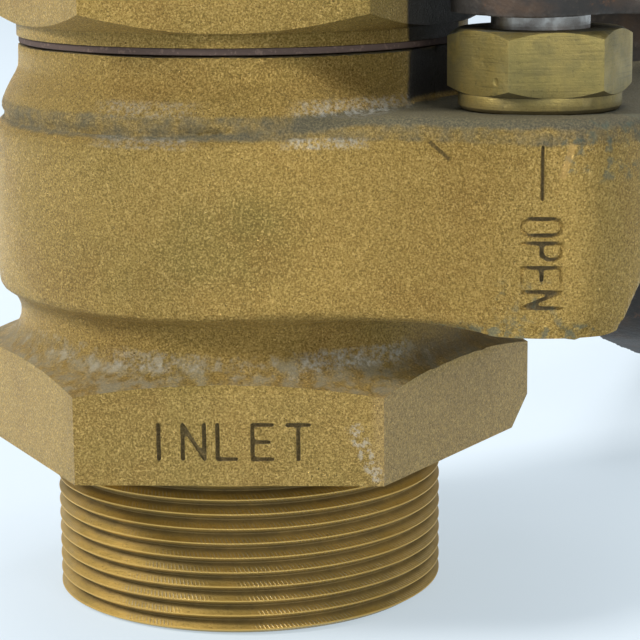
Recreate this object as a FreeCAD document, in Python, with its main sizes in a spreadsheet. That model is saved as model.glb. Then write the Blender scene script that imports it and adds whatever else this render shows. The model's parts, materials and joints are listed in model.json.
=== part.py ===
import FreeCAD, Part
import math
import os
import Sketcher
from FreeCAD import Placement, Rotation, Vector

# Quick-opening lever valve, 2 inch male inlet, 2 inch female outlet.
# Frame: millimetres, +Z along the flow, origin at the centre of the inlet end face.
# The post that swings the disc stands on +X. Angles are seen from above, counter-clockwise from +X.

# A size is a number, or a formula on the sizes above it.
SIZES = {
    # fits, and how far a cutting shape runs past the face it opens
    "running_gap": 0.05,
    "loose_gap": 0.15,
    "swing_gap": 2.0,
    "past": 1.0,
    # inlet thread, a 2 inch pipe thread, 11.5 turns to the inch
    "thread_length": 25.0,
    "thread_radius": 30.16,
    "thread_pitch": 2.209,
    "thread_depth": 1.45,
    "thread_runout": 0.6,
    "waterway_radius": 24.0,
    # wrench hexagon over the inlet
    "hex_flats": 76.2,
    "hex_tall": 12.8,
    "hex_cone_rise": 1.9,
    "hex_cone_slope": 3.1,
    "neck_radius": 35.2,
    "neck_rise": 4.9,
    "neck_mid": "=thread_length + hex_tall + hex_cone_rise + neck_rise",
    "waist_tall": 1.6,
    # chamber
    "band_radius": 38.3,
    "chamber_lift": 3.4,
    "chamber_base": "=neck_mid + chamber_lift",
    "chamber_tall": 26.3,
    "chamber_top": "=chamber_base + chamber_tall",
    "chamber_wall": 4.5,
    "roof_wall": 4.0,
    "lobe_wall": 5.0,
    "edge_round": 1.6,
    "rim_round": 2.0,
    "ramp_start": 8.0,
    "ramp_end": 38.0,
    "saddle_radius": 45.0,
    "rear_saddle_radius": 30.0,
    # post and its boss
    "post_offset": 50.8,
    "post_radius": 7.0,
    "boss_radius": 17.5,
    "boss_drop": 0.7,
    "boss_base": "=chamber_base - boss_drop",
    "boss_rise": 3.1,
    "boss_top": "=chamber_top + boss_rise",
    "pocket_radius": 18.2,
    "swing": 68.0,
    # shoulder and top opening
    "shoulder_radius": 37.4,
    "shoulder_tall": 1.8,
    "collar_radius": 34.4,
    "collar_rise": 11.2,
    "collar_top": "=chamber_top + collar_rise",
    "groove_deep": 0.9,
    "opening_radius": 30.5,
    # disc, seat and arm
    "disc_radius": 29.5,
    "disc_thick": 5.4,
    "disc_gap": 2.0,
    "face_gap": 0.1,
    "seat_wide": 5.0,
    "seat_tall": 4.5,
    "seat_proud": 1.5,
    "arm_thick": 5.0,
    "arm_wide": 18.0,
    "hub_radius": 12.5,
    "hub_lift": 1.7,
    "stud_radius": 5.0,
    "stud_groove": 0.8,
    "clip_radius": 7.4,
    "clip_thick": 0.8,
    "clip_gap": 2.0,
    "disc_washer_thick": 0.9,
    "spring_thick": 0.7,
    "square_side": 9.8,
    "pin_radius": 1.5,
    # gland
    "gland_radius": 10.0,
    "web_thick": 4.5,
    "packing_tall": 1.6,
    "follower_tall": 1.6,
    "bush_radius": 9.0,
    "lower_bush_sunk": 2.7,
    "thrust_thick": 1.0,
    "nut_flats": 23.0,
    "nut_tall": 9.0,
    "nut_face_radius": 11.6,
    "nut_face_tall": 2.2,
    "nut_turn": -22.0,
    "nut_corner_cut": 1.1,
    # bonnet with the outlet thread
    "bonnet_flats": 70.0,
    "bonnet_tall": 23.5,
    "bonnet_top": "=collar_top + bonnet_tall",
    "bonnet_face_radius": 34.4,
    "bonnet_face_tall": 2.0,
    "gasket_thick": 1.0,
    "bonnet_corner_cut": 2.8,
    "outlet_depth": 19.5,
    "outlet_radius": 28.4,
    # lever
    "lever_gap": 1.8,
    "lever_hub_radius": 13.0,
    "lever_hub_tall": 12.0,
    "lever_angle": 106.0,
    "lever_thick": 9.0,
    "lever_wide": 18.0,
    "grip_wide": 21.0,
    "lever_length": 214.0,
    "lever_lobe_gap": 4.7,
    "lever_drop_at": "=post_offset + disc_radius + swing_gap + lobe_wall + lever_lobe_gap",
    "lever_drop_run": 11.0,
    "lever_grip_from": 73.0,
    "lever_grip_slope": 1.5,
    "lever_dip": 21.4,
    "lever_low": "=chamber_base - lever_dip",
    "lever_grip_dip": 18.2,
    "lever_grip_low": "=lever_low - lever_grip_dip",
    "lever_bend": 13.0,
    "pointer_reach": 18.0,
    "pointer_thick": 3.0,
    "pointer_half_angle": 35.0,
    "open_mark_angle": -61.5,
    "open_rise": 10.5,
    "open_level": "=boss_base + open_rise",
    "tick_gap": 3.7,
    "tick_high": "=boss_top - tick_gap",
    "tick_tall": 7.0,
    "tick_low": "=tick_high - tick_tall",
    "stem_thread_radius": 4.5,
    "lever_nut_flats": 16.0,
    "lever_nut_tall": 7.5,
    "lever_nut_turn": 5.0,
    "lever_nut_corner_cut": 0.8,
    "stem_end": 2.0,
    "lever_washer_radius": 9.5,
    "lever_washer_thick": 1.6,
    # drain plug under the parked disc
    "drain_radius": 8.0,
    "drain_boss_radius": 13.0,
    "drain_boss_drop": 5.0,
    "drain_head_side": 9.5,
    "drain_head_tall": 7.0,
    "drain_collar_wide": 2.5,
    "drain_collar_tall": 2.0,
    # lettering
    "letter_deep": 0.5,
    "letter_stroke": 0.75,
    "tick_stroke": 0.8,
    "inlet_letter_tall": 5.0,
    "inlet_letter_step": 4.95,
    "inlet_letter_stretch": 0.92,
    "open_letter_tall": 5.4,
    "open_letter_step": 3.35,
    "open_letter_stretch": 0.62,
}

doc = FreeCAD.newDocument("lever_valve")
sheet = doc.addObject("Spreadsheet::Sheet", "Sizes")
for row, (word, number) in enumerate(SIZES.items(), start=1):
    sheet.set("A%d" % row, word)
    sheet.set("B%d" % row, str(number))
    sheet.setAlias("B%d" % row, word)
doc.recompute()

parts = []


def size(word):
    """One driving dimension, read back from the sheet."""
    return float(sheet.get(word))


def value(formula):
    """The number that the sheet works out for a formula on its words."""
    sheet.set("D1", "=" + formula)
    sheet.recompute()
    return float(sheet.get("D1"))


def bind(thing, **formulas):
    """Bind properties of a document object to formulas on the sheet's words."""
    for name, formula in formulas.items():
        thing.setExpression(name, formula)
    return thing


def words(formula):
    """Write a formula on bare words as one on the sheet's cells."""
    out = ""
    word = ""
    for letter in formula + " ":
        if letter.isalpha() or letter == "_":
            word += letter
            continue
        out += "Sizes." + word if word in SIZES else word
        word = ""
        out += letter
    return out.strip()


def keep(thing, label):
    """Give a finished sub-part its name."""
    thing.Label = label
    parts.append(thing)
    return thing


def at(thing, x="0", y="0", z="0"):
    """Bind the place of an object."""
    for axis, formula in zip("xyz", (x, y, z)):
        thing.setExpression("Placement.Base." + axis, words(formula))
    return thing


def cylinder(name, radius, tall, x="0", y="0", z="0"):
    rod = doc.addObject("Part::Cylinder", name)
    bind(rod, Radius=words(radius), Height=words(tall))
    return at(rod, x, y, z)


def cone(name, low, high, tall, x="0", y="0", z="0"):
    frustum = doc.addObject("Part::Cone", name)
    bind(frustum, Radius1=words(low), Radius2=words(high), Height=words(tall))
    return at(frustum, x, y, z)


def block(name, long, wide, tall, x="0", y="0", z="0"):
    """A box centred over its place."""
    box = doc.addObject("Part::Box", name)
    bind(box, Length=words(long), Width=words(wide), Height=words(tall))
    return at(box, "%s - (%s) / 2" % (x, long), "%s - (%s) / 2" % (y, wide), z)


def hexagon(name, flats, tall, x="0", y="0", z="0", turn=30.0):
    prism = doc.addObject("Part::Prism", name)
    prism.Polygon = 6
    bind(prism, Circumradius=words("(%s) / 2 / cos(30)" % flats), Height=words(tall))
    prism.Placement = Placement(Vector(), Rotation(Vector(0, 0, 1), turn))
    return at(prism, x, y, z)


def fused(name, *things):
    joined = doc.addObject("Part::MultiFuse", name)
    joined.Shapes = list(things)
    joined.Refine = True
    return joined


def cut(name, base, *tools):
    tool = tools[0] if len(tools) == 1 else fused(name + "Tool", *tools)
    result = doc.addObject("Part::Cut", name)
    result.Base = base
    result.Tool = tool
    result.Refine = True
    return result


def common(name, first, second):
    result = doc.addObject("Part::MultiCommon", name)
    result.Shapes = [first, second]
    return result


def solid_feature(name, shape):
    """A shape made with Part's functions from the sheet's sizes."""
    holder = doc.addObject("Part::Feature", name)
    holder.Shape = shape
    return holder


def turned(name, profile, x="0"):
    """A PartDesign body, revolved about its Z axis from a profile of (radius, height) formulas."""
    body = doc.addObject("PartDesign::Body", name)
    sketch = body.newObject("Sketcher::SketchObject", name + "Sketch")
    plane = [item for item in body.Origin.OriginFeatures if item.Role == "XZ_Plane"][0]
    sketch.AttachmentSupport = [(plane, "")]
    sketch.MapMode = "FlatFace"
    corners = [(value(radius), value(height)) for radius, height in profile]
    count = len(corners)
    for i, (radius, height) in enumerate(corners):
        ahead = corners[(i + 1) % count]
        sketch.addGeometry(Part.LineSegment(Vector(radius, height, 0), Vector(ahead[0], ahead[1], 0)))
    for i in range(count):
        sketch.addConstraint(Sketcher.Constraint("Coincident", i, 2, (i + 1) % count, 1))
    for i, formulas in enumerate(profile):
        for kind, formula, number in zip(("DistanceX", "DistanceY"), formulas, corners[i]):
            index = sketch.addConstraint(Sketcher.Constraint(kind, -1, 1, i, 1, number))
            sketch.setExpression("Constraints[%d]" % index, words(formula))
    revolution = body.newObject("PartDesign::Revolution", name + "Revolution")
    revolution.Profile = sketch
    revolution.ReferenceAxis = (sketch, ["V_Axis"])
    revolution.Angle = 360
    body.setExpression("Placement.Base.x", words(x))
    return body


def ring(name, inner, outer, low, high, x="0", chamfer="0.3"):
    """A plain ring with its outer edges broken."""
    return turned(name, [
        (inner, low),
        ("%s - %s" % (outer, chamfer), low),
        (outer, "%s + %s" % (low, chamfer)),
        (outer, "%s - %s" % (high, chamfer)),
        ("%s - %s" % (outer, chamfer), high),
        (inner, high),
    ], x)


def polar(angle, reach, centre=Vector()):
    return centre + Vector(reach * math.cos(math.radians(angle)), reach * math.sin(math.radians(angle)), 0)


def rod(radius, low, high, centre=Vector()):
    return Part.makeCylinder(radius, high - low, centre + Vector(0, 0, low))


def slab(wire, low, high):
    """A closed flat outline, raised between two levels."""
    face = Part.Face(wire)
    face.translate(Vector(0, 0, low))
    return face.extrude(Vector(0, 0, high - low))


def revolve_profile(edges):
    return Part.Face(Part.Wire(edges)).revolve(Vector(), Vector(0, 0, 1), 360)


# --- levels and places that several pieces share ---

POST = Vector(size("post_offset"), 0, 0)
PARKED = polar(180.0 - size("swing"), size("post_offset"), POST)
DISC_SWEEP = size("disc_radius") + size("swing_gap")
LOBE = DISC_SWEEP + size("lobe_wall")
FLOOR = "(chamber_base + chamber_wall)"
CEILING = "(chamber_top - roof_wall)"
SEAT_FACE = "(%s - seat_proud)" % CEILING
DISC_TOP = "(%s - face_gap)" % SEAT_FACE
DISC_BASE = "(%s - disc_thick)" % DISC_TOP
ARM_TOP = "(%s - disc_gap)" % DISC_BASE
ARM_BASE = "(%s - arm_thick)" % ARM_TOP
HUB_BASE = "(%s + hub_lift)" % FLOOR
WEB_BASE = "(%s + seat_proud)" % ARM_TOP
HUB_TOP = "(%s - thrust_thick - face_gap)" % WEB_BASE
GLAND_FLOOR = "(%s + web_thick)" % WEB_BASE
LOWER_BUSH_BASE = "(%s - lower_bush_sunk)" % FLOOR
PIN_LEVEL = "(%s + %s) / 2" % (HUB_BASE, HUB_TOP)
NUT_TOP = "(boss_top + nut_face_tall + nut_tall)"
LEVER_BASE = "(%s + lever_gap)" % NUT_TOP
LEVER_TOP = "(%s + lever_hub_tall)" % LEVER_BASE
BORE = "(post_radius + running_gap)"


# --- valve body: one bronze casting ---

def saddle(centre_a, radius_a, centre_b, radius_b, radius, side):
    """The web between two round walls, hollowed by an arc that is tangent to both."""
    apart = centre_b - centre_a
    reach_a = radius_a + radius
    reach_b = radius_b + radius
    along = (reach_a ** 2 - reach_b ** 2 + apart.Length ** 2) / (2 * apart.Length)
    across = math.sqrt(reach_a ** 2 - along ** 2)
    way = Vector(apart).normalize()
    normal = Vector(-way.y, way.x, 0) * side
    hollow = centre_a + way * along + normal * across
    touch_a = centre_a + (hollow - centre_a) * (radius_a / reach_a)
    touch_b = centre_b + (hollow - centre_b) * (radius_b / reach_b)
    middle = (touch_a + touch_b) * 0.5
    nearest = hollow + (middle - hollow).normalize() * radius
    return Part.Wire([
        Part.LineSegment(centre_b, centre_a).toShape(),
        Part.LineSegment(centre_a, touch_a).toShape(),
        Part.Arc(touch_a, nearest, touch_b).toShape(),
        Part.LineSegment(touch_b, centre_b).toShape(),
    ])


def pie(reach, start, end, low, high):
    """A slice about the post."""
    middle = (start + end) / 2
    wire = Part.Wire([
        Part.LineSegment(POST, polar(start, reach, POST)).toShape(),
        Part.Arc(polar(start, reach, POST), polar(middle, reach, POST), polar(end, reach, POST)).toShape(),
        Part.LineSegment(polar(end, reach, POST), POST).toShape(),
    ])
    return slab(wire, low, high)


def chamber_shell():
    """The flat wide chamber: the round band, the rear lobe, the boss and the webs between them."""
    low = size("chamber_base")
    high = size("boss_top")
    band = size("band_radius")
    boss = size("boss_radius")
    outline = rod(band, low, high).multiFuse([
        rod(LOBE, low, high, PARKED),
        rod(boss, low, high, POST),
        pie(size("post_offset") + LOBE, 180.0 - size("swing"), 180.0, low, high),
        slab(saddle(Vector(), band, POST, boss, size("saddle_radius"), -1), low, high),
        slab(saddle(PARKED, LOBE, POST, boss, size("rear_saddle_radius"), 1), low, high),
    ]).removeSplitter()
    far = 2 * (size("post_offset") + LOBE)
    shell = outline.cut(over_ramp(far))
    bottom_rim = [edge for edge in shell.Edges if edge.BoundBox.ZMax < low + 0.01]
    shell = shell.makeFillet(size("edge_round"), bottom_rim)
    top_rim = [edge for edge in shell.Edges if edge.BoundBox.ZMin > size("chamber_top") - 0.01
               and edge.BoundBox.YLength < far and not is_ridge(edge)]
    return shell.makeFillet(size("rim_round"), top_rim)


def is_ridge(edge):
    """True for the straight lines across the roof where the ramp starts, turns and ends."""
    return edge.BoundBox.XLength < 0.01 and edge.BoundBox.ZLength < 0.01


def over_ramp(far):
    """The room over the chamber's roof, which rises to the boss in one smooth step of two arcs."""
    low = size("chamber_top")
    high = size("boss_top")
    start = size("ramp_start")
    end = size("ramp_end")
    run = (end - start) / 2
    rise = (high - low) / 2
    radius = (run ** 2 + rise ** 2) / (2 * rise)
    half = math.atan2(rise, run)
    first_mid = Vector(start + radius * math.sin(half), -far, low + radius * (1 - math.cos(half)))
    last_mid = Vector(end - radius * math.sin(half), -far, high - radius * (1 - math.cos(half)))
    turn = Vector(start + run, -far, low + rise)
    corners = [Vector(end, -far, high), Vector(far, -far, high), Vector(far, -far, high + 1),
               Vector(-far, -far, high + 1), Vector(-far, -far, low), Vector(start, -far, low)]
    edges = [Part.LineSegment(one, two).toShape() for one, two in zip(corners, corners[1:])]
    edges.append(Part.Arc(corners[-1], first_mid, turn).toShape())
    edges.append(Part.Arc(turn, last_mid, corners[0]).toShape())
    return Part.Face(Part.Wire(edges)).extrude(Vector(0, 2 * far, 0))


def inlet_and_neck():
    """The threaded inlet as rings of the thread's form, and the waisted neck over the hexagon."""
    crest = size("thread_radius")
    root = crest - size("thread_depth")
    pitch = size("thread_pitch")
    length = size("thread_length")
    flat = 0.04 * pitch
    flank = 0.42 * pitch
    points = [(0, 0), (root, 0)]
    turns = int((length - size("thread_runout")) / pitch)
    for i in range(turns):
        base = length - size("thread_runout") - (turns - i) * pitch
        points += [(root, base + flat), (crest, base + flank), (crest, base + pitch - flank - 2 * flat),
                   (root, base + pitch - 2 * flat)]
    points += [(root, length + 1), (0, length + 1)]
    corners = [Vector(radius, 0, height) for radius, height in points]
    thread = revolve_profile(Part.makePolygon(corners + corners[:1]).Edges)
    rim = size("hex_flats") / 2
    rim_foot = length + size("hex_tall") + size("hex_cone_rise")
    inside_hex = rim_foot - 3.0
    neck = size("neck_radius")
    waist_low = size("neck_mid") - size("waist_tall") / 2
    waist_high = size("neck_mid") + size("waist_tall") / 2
    top = size("chamber_base") + 1.0
    under_band = rim - 0.6
    low_arc = Part.Arc(Vector(rim, 0, rim_foot), Vector(neck + 0.6, 0, rim_foot + 2.4),
                       Vector(neck, 0, waist_low))
    high_arc = Part.Arc(Vector(neck, 0, waist_high), Vector(neck + 0.5, 0, top - 2.4),
                        Vector(under_band, 0, top))
    stem = revolve_profile([
        Part.LineSegment(Vector(0, 0, inside_hex), Vector(rim, 0, inside_hex)).toShape(),
        Part.LineSegment(Vector(rim, 0, inside_hex), Vector(rim, 0, rim_foot)).toShape(),
        low_arc.toShape(),
        Part.LineSegment(Vector(neck, 0, waist_low), Vector(neck, 0, waist_high)).toShape(),
        high_arc.toShape(),
        Part.LineSegment(Vector(under_band, 0, top), Vector(0, 0, top)).toShape(),
        Part.LineSegment(Vector(0, 0, top), Vector(0, 0, inside_hex)).toShape(),
    ])
    return thread.fuse(stem)


def shoulder():
    """The rounded shoulder and collar over the chamber, which carry the top opening."""
    bulge = size("shoulder_radius")
    collar = size("collar_radius")
    base = size("chamber_top")
    full = base + size("shoulder_tall")
    top = size("collar_top")
    groove = bulge - size("groove_deep")
    groove_top = base + 0.4 * size("shoulder_tall")
    sunk = base - 2.0
    crown = full + 5.6
    return revolve_profile([
        Part.LineSegment(Vector(0, 0, sunk), Vector(groove, 0, sunk)).toShape(),
        Part.LineSegment(Vector(groove, 0, sunk), Vector(groove, 0, groove_top)).toShape(),
        Part.Arc(Vector(groove, 0, groove_top), Vector(bulge - 0.2, 0, (groove_top + full) / 2 + 0.1),
                 Vector(bulge, 0, full)).toShape(),
        Part.Arc(Vector(bulge, 0, full), Vector(bulge - 1.2, 0, full + 2.6),
                 Vector(collar, 0, crown)).toShape(),
        Part.LineSegment(Vector(collar, 0, crown), Vector(collar, 0, top)).toShape(),
        Part.LineSegment(Vector(collar, 0, top), Vector(0, 0, top)).toShape(),
        Part.LineSegment(Vector(0, 0, top), Vector(0, 0, sunk)).toShape(),
    ])


def cavity():
    """The room that the arm and the disc swing in."""
    low = value(FLOOR)
    high = value(CEILING)
    web = value(WEB_BASE)
    closed = 180.0
    parked = closed - size("swing")
    reach = size("post_offset")
    kidney = pie(reach + DISC_SWEEP, parked, closed, low, high)
    kidney = kidney.cut(rod(reach - DISC_SWEEP, low - 1, high + 1, POST))
    room = kidney.multiFuse([
        rod(DISC_SWEEP, low, high),
        rod(DISC_SWEEP, low, high, PARKED),
        pie(reach, parked, closed, low, web),
        rod(size("hub_radius") + size("swing_gap"), low, web, POST),
    ])
    half = size("arm_wide") / 2 + size("swing_gap")
    for angle in (parked, closed):
        strip = Part.makeBox(reach, 2 * half, web - low, Vector(0, -half, low))
        strip.Placement = Placement(POST, Rotation(Vector(0, 0, 1), angle))
        room = room.fuse(strip)
    return room.removeSplitter()


LETTERS = {
    # strokes on a grid 4 wide and 6 tall
    "I": [((2, 0), (2, 6))],
    "N": [((0, 0), (0, 6)), ((0, 6), (4, 0)), ((4, 0), (4, 6))],
    "L": [((0, 6), (0, 0)), ((0, 0), (3.4, 0))],
    "E": [((0, 0), (0, 6)), ((0, 6), (3.6, 6)), ((0, 3), (3, 3)), ((0, 0), (3.6, 0))],
    "T": [((2, 0), (2, 6)), ((0, 6), (4, 6))],
    "O": [((0, 1), (0, 5)), ((0, 5), (1, 6)), ((1, 6), (3, 6)), ((3, 6), (4, 5)), ((4, 5), (4, 1)),
          ((4, 1), (3, 0)), ((3, 0), (1, 0)), ((1, 0), (0, 1))],
    "P": [((0, 0), (0, 6)), ((0, 6), (3, 6)), ((3, 6), (4, 5)), ((4, 5), (4, 4)), ((4, 4), (3, 3)),
          ((3, 3), (0, 3))],
}


def stroke(start, end, thick, deep):
    """One round-ended cut between two points of the XZ plane, sunk both ways along Y."""
    low = Vector(start[0], -deep, start[1])
    way = Vector(end[0], -deep, end[1]) - low
    bar = Part.makeBox(way.Length, 2 * deep, thick, Vector(0, 0, -thick / 2))
    turn = Rotation(Vector(0, 1, 0), -math.degrees(math.atan2(way.z, way.x)))
    bar.Placement = Placement(low, turn)
    ends = [Part.makeCylinder(thick / 2, 2 * deep, point, Vector(0, 1, 0)) for point in (low, low + way)]
    return bar.multiFuse(ends)


def word_cut(text, tall, spacing, stretch=1.0):
    """Sunk lettering, centred on the origin of the XZ plane."""
    unit = tall / 6.0
    total = spacing * (len(text) - 1)
    shapes = []
    for place, letter in enumerate(text):
        left = place * spacing - total / 2 - 2 * unit * stretch
        for start, end in LETTERS[letter]:
            shapes.append(stroke(
                (left + start[0] * unit * stretch, (start[1] - 3) * unit),
                (left + end[0] * unit * stretch, (end[1] - 3) * unit),
                size("letter_stroke"), size("letter_deep")))
    return shapes


def marks():
    """INLET on a flat of the hexagon, and OPEN under an index line on the boss."""
    shapes = []
    flat = size("hex_flats") / 2
    flat_level = size("thread_length") + size("hex_tall") / 2
    for shape in word_cut("INLET", size("inlet_letter_tall"), size("inlet_letter_step"),
                          size("inlet_letter_stretch")):
        shape.Placement = Placement(polar(-60.0, flat, Vector(0, 0, flat_level)),
                                    Rotation(Vector(0, 0, 1), 30.0)).multiply(shape.Placement)
        shapes.append(shape)
    face = size("boss_radius")
    angle = size("open_mark_angle")
    for shape in word_cut("OPEN", size("open_letter_tall"), size("open_letter_step"),
                          size("open_letter_stretch")):
        shape.Placement = Placement(Vector(), Rotation(Vector(0, 1, 0), 90.0)).multiply(shape.Placement)
        shape.Placement = Placement(polar(angle, face, POST + Vector(0, 0, size("open_level"))),
                                    Rotation(Vector(0, 0, 1), angle + 90.0)).multiply(shape.Placement)
        shapes.append(shape)
    tick = stroke((0, size("tick_low")), (0, size("tick_high")), size("tick_stroke"), size("letter_deep"))
    tick.Placement = Placement(polar(angle, face, POST), Rotation(Vector(0, 0, 1), angle + 90.0)).multiply(
        tick.Placement)
    return shapes + [tick]


def valve_body():
    inlet_hex = common(
        "InletHex",
        hexagon("InletHexPrism", "hex_flats", "hex_tall + hex_cone_rise", z="thread_length"),
        cone("InletHexCone", "hex_flats / 2 + (hex_tall + hex_cone_rise) * hex_cone_slope",
             "hex_flats / 2", "hex_tall + hex_cone_rise", z="thread_length"))
    lobe_drain = solid_feature("DrainBoss", rod(
        size("drain_boss_radius"), size("chamber_base") - size("drain_boss_drop"),
        value(FLOOR) - size("past"), PARKED))
    outside = fused(
        "CastOutside",
        solid_feature("InletAndNeck", inlet_and_neck()),
        inlet_hex,
        solid_feature("ChamberShell", chamber_shell()),
        solid_feature("Shoulder", shoulder()),
        cylinder("BossSkirt", "boss_radius - 0.4", "chamber_base + chamber_wall - boss_base", "post_offset",
                 z="boss_base"),
        lobe_drain)
    drain = cylinder("DrainBore", "drain_radius", "drain_boss_drop + chamber_wall + 2 * past",
                     z="chamber_base - drain_boss_drop - past")
    drain.Placement.Base = PARKED + Vector(0, 0, drain.Placement.Base.z)
    drain.setExpression("Placement.Base.x", words("post_offset * (1 - cos(swing))"))
    drain.setExpression("Placement.Base.y", words("post_offset * sin(swing)"))
    body = cut(
        "ValveBody", outside,
        cylinder("InletWaterway", "waterway_radius", FLOOR + " + 2 * past", z="-past"),
        solid_feature("Cavity", cavity()),
        cylinder("TopOpening", "opening_radius + running_gap", "collar_top + 2 * past - " + CEILING,
                 z=CEILING + " - past"),
        cylinder("WrenchPocket", "pocket_radius", "collar_top + past - boss_top", "post_offset",
                 z="boss_top"),
        cylinder("GlandBore", "gland_radius + running_gap", "boss_top + past - " + GLAND_FLOOR, "post_offset",
                 z=GLAND_FLOOR),
        cylinder("WebBore", "bush_radius", "web_thick + 2 * past", "post_offset", z=WEB_BASE + " - past"),
        cylinder("LowerBushBore", "bush_radius", "lower_bush_sunk + past", "post_offset", z=LOWER_BUSH_BASE),
        drain,
        solid_feature("Marks", Part.makeCompound(marks())))
    return keep(body, "valve_body")


def bearings():
    keep(ring("LowerBush", BORE, "bush_radius", LOWER_BUSH_BASE, "(%s - face_gap)" % HUB_BASE, "post_offset"),
         "lower_bush")
    keep(ring("UpperBush", BORE, "bush_radius", WEB_BASE, GLAND_FLOOR, "post_offset"), "upper_bush")
    washer_top = "(%s - running_gap)" % WEB_BASE
    keep(ring("ThrustWasher", "(post_radius + loose_gap)", "(hub_radius - 0.5)",
              "(%s - thrust_thick)" % washer_top, washer_top, "post_offset", "0.1"), "thrust_washer")


def corner_cut(name, flat, drop, low, high):
    """The turned shape that takes the corners off both ends of a hexagon on the post."""
    wide = "%s + 1.75 * %s" % (flat, drop)
    return turned(name, [
        ("0", low),
        (flat, low),
        (wide, "%s + %s" % (low, drop)),
        (wide, "%s - %s" % (high, drop)),
        (flat, high),
        ("0", high)], "post_offset")


def gland():
    """Packing rings, their follower and the hexagon nut that presses on them."""
    step = "(packing_tall + running_gap)"
    rings = [ring("PackingRing%d" % (i + 1), "(post_radius + 0.02)", "gland_radius",
                  "%s + %d * %s" % (GLAND_FLOOR, i, step),
                  "%s + %d * %s + packing_tall" % (GLAND_FLOOR, i, step), "post_offset")
             for i in range(2)]
    doc.recompute()
    group = solid_feature("PackingRings", Part.makeCompound([item.Shape for item in rings]))
    keep(group, "packing_rings")
    packed = "(%s + 2 * %s)" % (GLAND_FLOOR, step)
    keep(ring("Follower", BORE, "(gland_radius - running_gap)", packed, "(%s + follower_tall)" % packed,
              "post_offset", "0.2"), "packing_follower")
    thread = cylinder("NutThread", "gland_radius", "boss_top - %s - follower_tall + 0.1" % packed,
                      "post_offset", z="%s + follower_tall" % packed)
    face = turned("NutFace", [
        ("0", "boss_top"),
        ("nut_face_radius - 0.4", "boss_top"),
        ("nut_face_radius", "boss_top + 0.5"),
        ("nut_face_radius", "boss_top + nut_face_tall"),
        ("0", "boss_top + nut_face_tall")], "post_offset")
    lower = "boss_top + nut_face_tall"
    flats = common(
        "NutHex",
        hexagon("NutPrism", "nut_flats", "nut_tall", "post_offset", z=lower, turn=size("nut_turn")),
        corner_cut("NutChamfer", "nut_flats / 2", "nut_corner_cut", lower, lower + " + nut_tall"))
    nut = cut("GlandNut", fused("NutBlank", thread, face, flats),
              cylinder("NutBore", BORE + " + running_gap", NUT_TOP + " + past - " + GLAND_FLOOR,
                       "post_offset", z=GLAND_FLOOR))
    keep(nut, "gland_nut")


def cross_rod(name, reach):
    """A rod of the pin's size across the post, at the level of the arm's hub."""
    across = cylinder(name, "pin_radius", "2 * (%s)" % reach, "post_offset", reach, PIN_LEVEL)
    across.Placement = Placement(across.Placement.Base, Rotation(Vector(1, 0, 0), 90))
    return across


def post():
    """The round post with a square for the arm, a square for the lever and a threaded top."""
    foot = "%s + 0.2" % LOWER_BUSH_BASE
    tip = LEVER_TOP + " + lever_washer_thick + lever_nut_tall + stem_end"
    round_part = turned("PostRound", [
        ("0", foot),
        ("post_radius - 0.5", foot),
        ("post_radius", foot + " + 0.5"),
        ("post_radius", LEVER_TOP),
        ("stem_thread_radius", LEVER_TOP),
        ("stem_thread_radius", tip + " - 0.8"),
        ("stem_thread_radius - 0.7", tip),
        ("0", tip)], "post_offset")
    sleeves = []
    for name, low, high in (("ArmSquare", HUB_BASE, HUB_TOP),
                            ("LeverSquare", LEVER_BASE, LEVER_TOP + " + past")):
        tall = "%s - %s" % (high, low)
        sleeves.append(cut(
            name + "Sleeve",
            cylinder(name + "Outer", "post_radius + past", tall, "post_offset", z=low),
            block(name + "Core", "square_side", "square_side", tall, "post_offset", z=low)))
    keep(cut("Post", round_part, cross_rod("PostPinBore", "2 * post_radius"), *sleeves), "post")
    keep(cross_rod("ArmPin", "hub_radius - 0.5"), "arm_pin")


def swing_arm():
    """The arm from the post to the middle of the disc."""
    hub = cylinder("ArmHub", "hub_radius", "%s - %s" % (HUB_TOP, HUB_BASE), "post_offset", z=HUB_BASE)
    bar = block("ArmBar", "post_offset", "arm_wide", "arm_thick", "post_offset / 2", z=ARM_BASE)
    eye = cylinder("ArmEye", "arm_wide / 2 + 1", "arm_thick", z=ARM_BASE)
    side = "square_side + 2 * running_gap"
    square = block("ArmSquareHole", side, side, "%s - %s + 2 * past" % (HUB_TOP, HUB_BASE), "post_offset",
                   z=HUB_BASE + " - past")
    eye_hole = cylinder("EyeHole", "stud_radius + running_gap", "arm_thick + 2 * past",
                        z=ARM_BASE + " - past")
    keep(cut("SwingArm", fused("ArmBlank", hub, bar, eye), square, eye_hole,
             cross_rod("ArmPinBore", "2 * hub_radius")), "swing_arm")


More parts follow.
